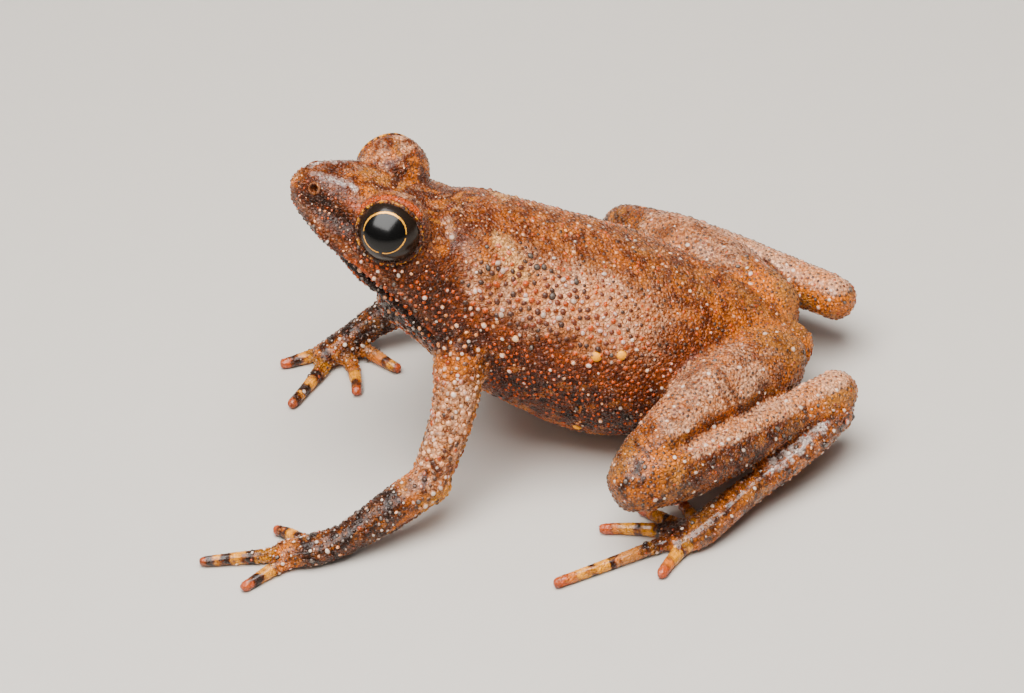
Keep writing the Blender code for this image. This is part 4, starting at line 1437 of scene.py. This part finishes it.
# %% Where each zone lies
def zone_shares(points):
    """How much each point belongs to each granule zone."""
    shares = {name: np.zeros(len(points)) for name in GRANULE_ZONES}
    for name, (belongs, share, _) in regions.items():
        zone = "digit" if "digit" in name else name.rsplit("_", 1)[0]
        if zone == "digit":
            base = name.split("_")[0]
            past_base = ramp(share, *DIGIT_BASE[base])
            shares[base] = np.maximum(shares[base], belongs * (1 - past_base))
            belongs = belongs * past_base
        shares[zone] = np.maximum(shares[zone], belongs)
    for zone in shares:
        if zone != "digit":
            shares[zone] = shares[zone] * (1 - shares["digit"])
    free = 1 - np.clip(sum(shares.values()), 0, 1)
    angle = trunk_angle(points) + 9 * wave(points, (1.4, 0.9, 0.6, 0.4), 13)
    along_trunk, _ = trunk_place(points)
    place, height = head_place(points)
    on_head = free * (1 - ramp(place, *HEAD_END))
    ridge = ramp(hump(line_distance(points, STREAK_LINE), 0.22), 0.35, 0.60)
    shares["snout_ridge"] = on_head * ridge
    on_head = on_head * (1 - ridge)
    top = ramp(height, 0.2, 0.9)
    front = 1 - ramp(place, 2.4, 3.4)
    shares["crown"] = on_head * top
    shares["snout_side"] = on_head * (1 - top) * front
    shares["cheek"] = on_head * (1 - top) * (1 - front)
    rest = free - on_head - shares["snout_ridge"]
    coarse = 1 - ramp(along_trunk, 10.5, 14.5)
    shares["back"] = rest * ramp(angle, 42 - 18 * (1 - coarse), 62 - 18 * (1 - coarse))
    shares["band"] = (rest - shares["back"]) * ramp(angle, 6, 22) * coarse
    shares["flank"] = (rest - shares["back"] - shares["band"]) * ramp(angle, -40, -25)
    shares["belly"] = rest * (1 - ramp(angle, -40, -25))
    return shares


print("zones are found from", len(regions), "paths, the trunk and the head")

# %% Bare places
FLOOR_BARE = 0.10
LID_BARE = 0.13
NOSTRIL_BARE = 0.25
MOUTH_BARE = 0.06


def bare_places(points, normals):
    """True inside the lids, in the nostril, along the mouth and on what rests on the floor."""
    bare = (points[:, 2] < FLOOR_BARE) & (normals[:, 2] < 0.2)
    for sign in (1, -1):
        _, distance, _, angle, opening = lid_opening(points, sign)
        bare |= (distance < NEAR_EYE) & (angle - opening < LID_BARE)
    bare |= line_distance(points, NOSTRIL) < NOSTRIL_BARE
    above_mouth, mouth_place = mouth_distance(points)
    on_mouth = (mouth_place > MOUTH_FRONT[0]) & (mouth_place < MOUTH_CORNER[0])
    bare |= (np.abs(above_mouth) < MOUTH_BARE) & on_mouth
    return bare


def granule_fields(points, normals):
    """The numbers of a granule zone at each skin point, then bare places and digits."""
    shares = zone_shares(points)
    weight = sum(shares.values()) + TINY
    fields = {name: sum(shares[zone] * GRANULE_ZONES[zone][k] for zone in shares) / weight
              for k, name in enumerate(FIELDS)}
    fields["bare"] = bare_places(points, normals).astype(float)
    fields["digit"] = shares["digit"]
    fields["dark_skin"] = skin_paint["dark"]
    return fields


skin_fields = granule_fields(skin_points, skin_normals)
add_amount(skin.data, "wet", skin_fields["wet"])
print("granule spacing runs from", round(skin_fields["spacing"].min(), 3), "to",
      round(skin_fields["spacing"].max(), 3), "mm")

# %% [markdown]
# Sowing
#
# Random places alone would clump. Instead many candidates are thrown on the skin, in
# proportion to the area of each triangle, and taken one by one: each one that is kept crosses
# out its neighbours within the local spacing. Warts go first, then granules, and then fine
# grains in the gaps that are left. The draw is seeded, so the toad is the same every time.

# %% Candidates
SOWING_SEED = 20
CANDIDATES_PER_MM2 = 260
draw = np.random.default_rng(SOWING_SEED)


def throw_candidates():
    corners = skin_points[skin_faces]
    across = np.cross(corners[:, 1] - corners[:, 0], corners[:, 2] - corners[:, 0])
    area = 0.5 * np.linalg.norm(across, axis=1)
    count = int(area.sum() * CANDIDATES_PER_MM2)
    picks = draw.choice(len(area), count, p=area / area.sum())
    share = draw.random((count, 2))
    share[share.sum(axis=1) > 1] = 1 - share[share.sum(axis=1) > 1]
    weights = np.column_stack((1 - share.sum(axis=1), share))

    def carry(values):
        return np.einsum("ij,ij...->i...", weights, values[skin_faces[picks]])

    seeds = {name: carry(values) for name, values in skin_fields.items()}
    seeds["place"] = carry(skin_points)
    seeds["normal"] = carry(skin_normals)
    seeds["paint"] = np.column_stack([carry(skin_paint[name]) for name in PIGMENTS])
    seeds["map"] = np.einsum("ij,ijk->ik", weights, skin_map[picks])
    print("skin area", round(area.sum()), "mm2,", count, "candidates")
    return seeds


seeds = throw_candidates()
seed_tree = kdtree.KDTree(len(seeds["place"]))
for number, place in enumerate(seeds["place"]):
    seed_tree.insert(place, number)
seed_tree.balance()

# %% Listed warts, x, y, z, radius and kind
SET_BY_HAND = (
    (3.70, 2.99, 5.39, 0.19, "yellow"), (3.70, 3.90, 5.28, 0.18, "yellow"),
    (2.60, 2.14, 2.13, 0.16, "yellow"), (-3.70, 3.30, 5.20, 0.18, "yellow"),
    (-3.55, 1.60, 4.60, 0.15, "yellow"),
    (2.00, -0.09, 8.50, 0.13, "grey"), (2.16, 0.09, 8.27, 0.13, "grey"), (2.13, -0.37, 8.46, 0.11, "dark"),
    (2.63, -0.88, 7.87, 0.10, "white"), (2.94, -0.09, 7.00, 0.13, "grey"), (3.01, -0.69, 6.74, 0.11, "white"),
    (3.22, 0.30, 6.15, 0.13, "cream"), (3.24, -0.17, 5.53, 0.11, "white"), (2.96, 1.33, 6.81, 0.13, "grey"),
    (2.99, 1.86, 6.64, 0.14, "grey"), (2.55, 1.69, 7.32, 0.14, "dark"), (1.91, 1.24, 8.09, 0.13, "dark"),
    (1.85, 1.50, 8.06, 0.12, "dark"), (1.63, 1.07, 8.37, 0.12, "dark"), (2.04, 2.54, 7.49, 0.12, "dark"),
    (2.68, 0.84, 7.38, 0.12, "cream"), (1.51, -1.53, 9.33, 0.13, "grey"), (2.13, 2.11, 7.60, 0.12, "grey"),
    (2.57, 2.39, 7.04, 0.13, "grey"), (1.54, 0.02, 8.84, 0.10, "red"), (1.70, 0.35, 8.60, 0.10, "red"),
    (2.85, -1.11, 7.31, 0.08, "white"), (2.40, 0.50, 7.90, 0.10, "red"),
)
print(len(SET_BY_HAND), "warts are set by hand")

# %% Sow
WART_SPACING = 0.30
WART_RADII = (0.074, 0.050)
FINE_SPACING = 0.105
FINE_RADIUS = 0.034
WART_ROOM = 0.045
GRANULE_ROOM = 0.018
FINE_ROOM = 0.01
GRANULE_CHANCE = 0.97
BARE_FROM = 0.4
crossed_out = seeds["bare"] > BARE_FROM
for *spot, spot_radius, kind in SET_BY_HAND:
    crossed_out |= np.linalg.norm(seeds["place"] - spot, axis=1) < spot_radius * 1.1


def sow(spacing, keep_chance, clearance):
    """Keep a spread of candidates. What is kept then clears its own room for the next kind."""
    local = crossed_out.copy()
    chance = draw.random(len(local))
    kept = []
    for number in range(len(local)):
        if local[number]:
            continue
        for _, other, _ in seed_tree.find_range(seeds["place"][number], spacing[number]):
            local[other] = True
        if chance[number] < keep_chance[number]:
            kept.append(number)
    for number in kept:
        for _, other, _ in seed_tree.find_range(seeds["place"][number], clearance[number]):
            crossed_out[other] = True
    return np.array(kept)


everywhere = np.ones(len(crossed_out))
wart_radius = WART_RADII[0] + WART_RADII[1] * draw.random(len(crossed_out)) ** 2
warts = sow(everywhere * WART_SPACING, seeds["wart"], wart_radius + WART_ROOM)
granules = sow(seeds["spacing"], everywhere * GRANULE_CHANCE, seeds["radius"] + GRANULE_ROOM)
fine = sow(everywhere * FINE_SPACING, seeds["fine"], everywhere * FINE_ROOM)
print(len(warts), "warts,", len(granules), "granules,", len(fine), "fine grains")

# %% [markdown]
# Growing
#
# A granule is a little closed dome with its root sunk in the skin. One template dome is stretched,
# turned and set on each place in one array operation. Its height, tone, body colour and tip vary
# from grain to grain, with the shares of its zone. Warts are taller and mostly white-topped, but
# black where the skin under them is dark. A few bright yellow ones are listed one by one.

# %% Domes
DOME_TINY = ((-0.45, 0.95), (0.42, 0.80))
DOME_SMALL = ((-0.40, 0.98), (0.28, 0.90), (0.74, 0.52))
DOME_LARGE = ((-0.40, 0.96), (0.10, 1.00), (0.50, 0.86), (0.84, 0.50))
SIDES_TINY, SIDES_SMALL, SIDES_LARGE, SIDES_SET = 5, 6, 8, 12
MAP_PATCH = 0.0013
MOST_TRIANGLES = 190000


def dome(levels, sides):
    """A closed dome, one unit wide and high: points, triangles."""
    angle = 2 * np.pi * np.arange(sides) / sides
    rings = [np.column_stack((np.cos(angle) * wide, np.sin(angle) * wide, np.full(sides, level)))
             for level, wide in levels]
    return skin_rings(rings, (0, 0, levels[0][0]), (0, 0, 1.0))


def grow(name, places, normals, flat_map, look):
    """One piece that holds a dome on each place, with the look's columns."""
    shape, faces = dome(look["levels"], look["sides"])
    count = len(places)
    normals = normals / np.linalg.norm(normals, axis=1, keepdims=True)
    first = np.cross(normals, draw.normal(size=(count, 3)))
    first /= np.linalg.norm(first, axis=1, keepdims=True)
    second = np.cross(normals, first)
    stretch = draw.uniform(0.86, 1.20, (count, 1, 1))
    local = shape[None] * np.stack((look["radius"], look["radius"], look["height"]), 1)[:, None]
    points = (places[:, None] + local[:, :, :1] * first[:, None] * stretch
              + local[:, :, 1:2] * second[:, None] / stretch + local[:, :, 2:] * normals[:, None])
    triangles = faces[None] + (np.arange(count) * len(shape))[:, None, None]
    each = len(shape)
    attributes = {key: np.repeat(look["paint"][:, k], each) for k, key in enumerate(PIGMENTS)}
    attributes["rise"] = np.tile(np.clip(shape[:, 2], 0, 1), count)
    for key in ("tone", "white_tip", "dark_tip", "net", "wet"):
        attributes[key] = np.repeat(look[key], each)
    points = points.reshape(-1, 3)
    points[:, 2] = np.maximum(points[:, 2], 0.0)
    piece = make_piece(name, points, triangles.reshape(-1, 3), attributes)
    layer = piece.data.uv_layers.new(name="OFBake")
    patch = shape[faces][..., :2] * MAP_PATCH
    layer.data.foreach_set("uv", (flat_map[:, None, None] + patch[None]).astype(np.float32).ravel())
    piece.data.materials.append(granule_material)
    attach(piece, "root")
    return count * len(faces)


granule_material = granule_finish()
skin.data.materials.append(skin_finish())
print("a small dome has", len(dome(DOME_SMALL, SIDES_SMALL)[1]), "triangles")

# %% Looks
WHITE_STRENGTH = (0.20, 0.80)
DARK_STRENGTH = (0.60, 1.0)
NET_STRENGTH = 1.3
BODY_TINT = 0.70


def tint(paint, pigment, chosen, amount):
    """Lay one pigment over the granules that are chosen."""
    share = chosen[:, None] * amount
    paint *= 1 - share
    paint[:, PIGMENTS.index(pigment)] += share[:, 0]


def look_of(chosen, levels, sides, radius, tallness):
    """Size, paint and tip for each granule, by the shares of its zone."""
    count = len(chosen)
    body = draw.random(count)
    tip = draw.random(count)
    paint = seeds["paint"][chosen].copy()
    red = seeds["red"][chosen]
    pale = seeds["pale"][chosen]
    is_pale = (body >= red) & (body < red + pale)
    kept = np.where(is_pale, 1.0, seeds["keep"][chosen])
    paint[:, PIGMENTS.index("pale")] *= kept
    tint(paint, "red", (body < red).astype(float), BODY_TINT)
    tint(paint, "pale", is_pale.astype(float), BODY_TINT)
    white = seeds["white"][chosen]
    dark = seeds["dark"][chosen]
    return {"levels": levels, "sides": sides, "radius": radius, "paint": paint,
            "net": np.clip(seeds["paint"][chosen, PIGMENTS.index("pale")] * NET_STRENGTH, 0, 1),
            "height": radius * seeds["height"][chosen] * tallness * draw.uniform(0.8, 1.15, count),
            "tone": draw.random(count), "wet": seeds["wet"][chosen],
            "white_tip": (tip < white) * draw.uniform(*WHITE_STRENGTH, count),
            "dark_tip": ((tip >= white) & (tip < white + dark)) * draw.uniform(*DARK_STRENGTH, count)}


def plant(name, chosen, look):
    """Split a kind of granule into light pieces, from front to back, and grow them."""
    faces_each = len(dome(look["levels"], look["sides"])[1])
    order = np.argsort(seeds["place"][chosen][:, 1])
    batches = math.ceil(len(chosen) * faces_each / MOST_TRIANGLES)
    total = 0
    for number, part in enumerate(np.array_split(order, batches), start=1):
        share = {key: value[part] if isinstance(value, np.ndarray) else value
                 for key, value in look.items()}
        at = chosen[part]
        total += grow(f"{name}_{number}", seeds["place"][at], seeds["normal"][at],
                      seeds["map"][at], share)
    return total


print("each look draws on", len(FIELDS), "numbers of its zone")

# %% Granules
GRANULE_SIZES = (0.80, 1.10)
FINE_SIZES = (0.8, 1.2)
FINE_WHITE = 0.5
WART_TALLNESS = 1.15
WART_WHITES = (0.6, 1.0)
BLACK_CHANCE = 0.15
BLACK_CHANCE_ON_DARK = 0.5
BLACK_TINT = 0.85
BLACK_WHITE_TIP = 0.15
BLACK_DARK_TIP = 0.5
radius = seeds["radius"][granules] * draw.uniform(*GRANULE_SIZES, len(granules))
triangle_total = plant("granules", granules, look_of(granules, DOME_SMALL, SIDES_SMALL, radius, 1.0))
radius = FINE_RADIUS * draw.uniform(*FINE_SIZES, len(fine))
look = look_of(fine, DOME_TINY, SIDES_TINY, radius, 1.0)
look["white_tip"] = look["white_tip"] * FINE_WHITE
triangle_total += plant("fine_grains", fine, look)
look = look_of(warts, DOME_LARGE, SIDES_LARGE, wart_radius[warts], WART_TALLNESS)
black = draw.random(len(warts)) < BLACK_CHANCE + BLACK_CHANCE_ON_DARK * seeds["dark_skin"][warts]
tint(look["paint"], "dark", black.astype(float), BLACK_TINT)
look["white_tip"] = np.where(black, BLACK_WHITE_TIP, draw.uniform(*WART_WHITES, len(warts)))
look["dark_tip"] = black * BLACK_DARK_TIP
triangle_total += plant("warts", warts, look)
print(triangle_total, "triangles of granules")

# %% Grow the listed warts, by kind: pigments, strength of the white tip and height
KINDS = {
    "yellow": ({"yellow": 1.0}, 0.0, 0.60), "grey": ({"dark": 0.40, "pale": 0.45}, 0.45, 0.85),
    "dark": ({"dark": 0.88}, 0.10, 0.85), "white": ({"pale": 0.85}, 0.85, 0.85),
    "cream": ({"cream": 0.95}, 0.55, 0.70), "red": ({"red": 0.85}, 0.15, 0.80),
}
skin_tree = kdtree.KDTree(len(skin_points))
for number, place in enumerate(skin_points):
    skin_tree.insert(place, number)
skin_tree.balance()


def grow_set_warts():
    at = np.array([skin_tree.find(row[:3])[1] for row in SET_BY_HAND])
    radius = np.array([row[3] for row in SET_BY_HAND])
    paint = np.zeros((len(at), len(PIGMENTS)))
    for row, (*_, kind) in enumerate(SET_BY_HAND):
        for pigment, amount in KINDS[kind][0].items():
            paint[row, PIGMENTS.index(pigment)] = amount
    white_tip = np.array([KINDS[row[4]][1] for row in SET_BY_HAND])
    tall = np.array([KINDS[row[4]][2] for row in SET_BY_HAND])
    corner_of = [np.nonzero(skin_faces == index) for index in at]
    flat_map = np.array([skin_map[rows[0], columns[0]] for rows, columns in corner_of])
    look = {"levels": DOME_LARGE, "sides": SIDES_SET, "radius": radius,
            "height": radius * tall, "paint": paint,
            "tone": np.zeros(len(at)), "white_tip": white_tip, "dark_tip": np.zeros(len(at)),
            "net": 0.5 * (white_tip > 0), "wet": np.zeros(len(at))}
    return grow("set_warts", skin_points[at], skin_normals[at], flat_map, look)


print("warts set by hand have", grow_set_warts(), "triangles")

# %% [markdown]
# Eyes
#
# The eye is a wet black ball. Its only mark is a thin gold ring round the pupil, brighter and
# thicker on top and broken at three places. A ring drawn by the material stays sharp on a plain
# ball: the angle from the eye's axis says where the ring is, and the angle round the axis says
# how thick it is there.

# %% Ring and colours of the eye
RING_ANGLE = math.radians(41.5)
RING_HALF_WIDTH = math.radians(1.25)
IRIS = (0.012, 0.008, 0.006)
IRIS_EDGE = (0.012, 0.007, 0.004)
PUPIL = (0.003, 0.003, 0.003)
GOLD = (0.900, 0.400, 0.030)
EYE_ROUGHNESS = 0.20
EYE_IOR = 1.34
EYE_SPECULAR = 0.56
EYE_SEGMENTS = 96
EYE_RINGS = 64
RING_AXIS = np.array((0.86, -0.18, 0.50))
RING_OVAL = 0.14
RING_WOBBLE = 0.05
RING_SWELL = 0.75
RING_METAL = 0.35
RING_GAPS = (-166.5, 3.6, -72.0)
print("the ring lies", round(math.degrees(RING_ANGLE), 1), "degrees off the eye's axis")

# %% Eye finish
def eye_finish(side, sign):
    finish = Finish("toad_eye_" + side)
    axis = mirror_side(RING_AXIS / np.linalg.norm(RING_AXIS), sign)
    ahead = np.array((0.0, -1.0, 0.0)) + axis * axis[1]
    ahead /= np.linalg.norm(ahead)
    above = np.cross(ahead, axis) * sign
    local = finish.node("ShaderNodeAttribute", {"attribute_name": "ball_place"}, {}, "Vector")

    def along(direction):
        return finish.node("ShaderNodeVectorMath", {"operation": "DOT_PRODUCT"},
                           {0: local, 1: tuple(direction)}, "Value")

    depth = along(axis)
    forward = along(ahead)
    upward = along(above)
    off_axis = finish.node("ShaderNodeMath", {"operation": "ARCCOSINE"}, {0: depth})
    around = finish.node("ShaderNodeMath", {"operation": "ARCTAN2"}, {0: upward, 1: forward})
    place = finish.millimetres()
    grain = finish.noise(place, 14.0, 3.0, 0.6)
    from_ring = off_axis + (grain - 0.5) * RING_WOBBLE + upward * upward * RING_OVAL - RING_ANGLE
    off_ring = finish.node("ShaderNodeMath", {"operation": "ABSOLUTE"}, {0: from_ring})
    width = RING_HALF_WIDTH * (1 + RING_SWELL * finish.soft(upward, 0.1, 0.5))
    ring = 1 - finish.soft(off_ring / width, 0.7, 1.2)
    for gap in RING_GAPS:
        off_gap = finish.node("ShaderNodeMath", {"operation": "ABSOLUTE"}, {0: around - math.radians(gap)})
        ring = ring * finish.soft(off_gap, 0.06, 0.14)
    iris = finish.mix(finish.soft(off_axis, 0.75, 1.15), IRIS, IRIS_EDGE)
    colour = finish.mix(finish.soft(off_axis, RING_ANGLE - 0.03, RING_ANGLE), PUPIL, iris)
    colour = finish.mix(ring, colour, GOLD)
    return finish.surface({"Base Color": colour, "Metallic": ring * RING_METAL},
                          {"Roughness": EYE_ROUGHNESS, "IOR": EYE_IOR, "Specular IOR Level": EYE_SPECULAR})


print("the ring is broken at", len(RING_GAPS), "places")

# %% Eyeballs
def ball(segments, rings):
    """Points and triangles of a unit ball."""
    turn = 2 * np.pi * np.arange(segments) / segments
    rise = np.pi * np.arange(1, rings) / rings
    layers = [np.column_stack((np.cos(turn) * math.sin(a), np.sin(turn) * math.sin(a),
                               np.full(segments, -math.cos(a)))) for a in rise]
    return skin_rings(layers, (0, 0, -1), (0, 0, 1))


def add_eye(side, sign):
    shape, faces = ball(EYE_SEGMENTS, EYE_RINGS)
    centre = mirror_side(EYE_CENTRE, sign)
    piece = make_piece("eyeball_" + side, centre + shape * BALL_RADIUS, faces, {"ball_place": shape})
    piece.data.materials.append(eye_finish(side, sign))
    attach(piece, "root")
    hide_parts("eye_" + side)
    return len(faces)


print("eyes have", add_eye("left", 1) + add_eye("right", -1), "triangles")

# %% [markdown]
# Floor and light
#
# The toad sits on a plain pale floor. Two big soft boxes hang overhead, a little towards the
# camera. One only shines. The other is only mirrored: wet granules catch it as small sparks, and
# the ball of the eye as one broad gleam. So light and gleam can be set apart. Two weak boxes,
# one on the camera's side and one behind, open the shadows.

# %% Floor
FLOOR_SIZE = 1600.0
FLOOR_COLOUR = (0.56, 0.53, 0.49)
FLOOR_SHADE = 0.96
FLOOR_ROUGHNESS = 0.55


def add_floor():
    corners = np.array(((-1, -1, 0), (1, -1, 0), (1, 1, 0), (-1, 1, 0))) * FLOOR_SIZE * MM / 2
    mesh = plain_mesh("floor", corners, np.array(((0, 1, 2, 3),)))
    floor = bpy.data.objects.new("floor", mesh)
    bpy.context.scene.collection.objects.link(floor)
    finish = Finish("pale_floor")
    place = finish.millimetres()
    speck = finish.noise(place, 0.6, 5.0, 0.6)
    colour = finish.mix(speck, [value * FLOOR_SHADE for value in FLOOR_COLOUR], FLOOR_COLOUR)
    floor.data.materials.append(finish.surface({"Base Color": colour}, {"Roughness": FLOOR_ROUGHNESS}))


def add_softbox(name, turn, rise, distance, size, power, tint, mirrored):
    """A square soft light that faces the toad, either mirrored in wet surfaces or only shining."""
    turn = math.radians(turn)
    rise = math.radians(rise)
    towards = Vector((math.sin(turn) * math.cos(rise), -math.cos(turn) * math.cos(rise), math.sin(rise)))
    lamp = bpy.data.lights.new(name, "AREA")
    lamp.shape = "SQUARE"
    lamp.size = size * MM
    lamp.energy = power
    lamp.color = tint
    piece = bpy.data.objects.new(name, lamp)
    bpy.context.scene.collection.objects.link(piece)
    turned = towards.to_track_quat("Z", "Y").to_matrix().to_4x4()
    piece.matrix_world = Matrix.Translation(to_world(CAMERA_TARGET + towards * distance)) @ turned
    piece.visible_glossy = mirrored
    piece.visible_diffuse = not mirrored


print("floor", FLOOR_SIZE, "mm wide")

# %% Soft boxes, turn, rise, distance, size, power, tint and whether only mirrored
SOFTBOXES = {
    "key": (72.0, 78.0, 120.0, 110.0, 0.49, (1.0, 0.965, 0.92), False),
    "gleam": (48.0, 72.0, 120.0, 150.0, 0.82, (1.0, 0.98, 0.95), True),
    "front": (75.0, 40.0, 240.0, 160.0, 0.12, (1.0, 0.95, 0.90), False),
    "back": (285.0, 45.0, 240.0, 160.0, 0.10, (0.96, 0.97, 1.0), False),
}
ROOM_COLOUR = (1.0, 0.96, 0.92, 1.0)
ROOM_STRENGTH = 0.085
add_floor()
for name, settings in SOFTBOXES.items():
    add_softbox(name, *settings)
world = bpy.data.worlds.new("soft_room")
world.use_nodes = True
room = world.node_tree.nodes["Background"]
room.inputs["Color"].default_value = ROOM_COLOUR
room.inputs["Strength"].default_value = ROOM_STRENGTH
bpy.context.scene.world = world
print(len(SOFTBOXES), "soft boxes and a dim room")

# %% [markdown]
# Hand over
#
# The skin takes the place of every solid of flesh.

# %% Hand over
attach(skin, "root")
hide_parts(*[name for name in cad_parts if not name.startswith("eye")])
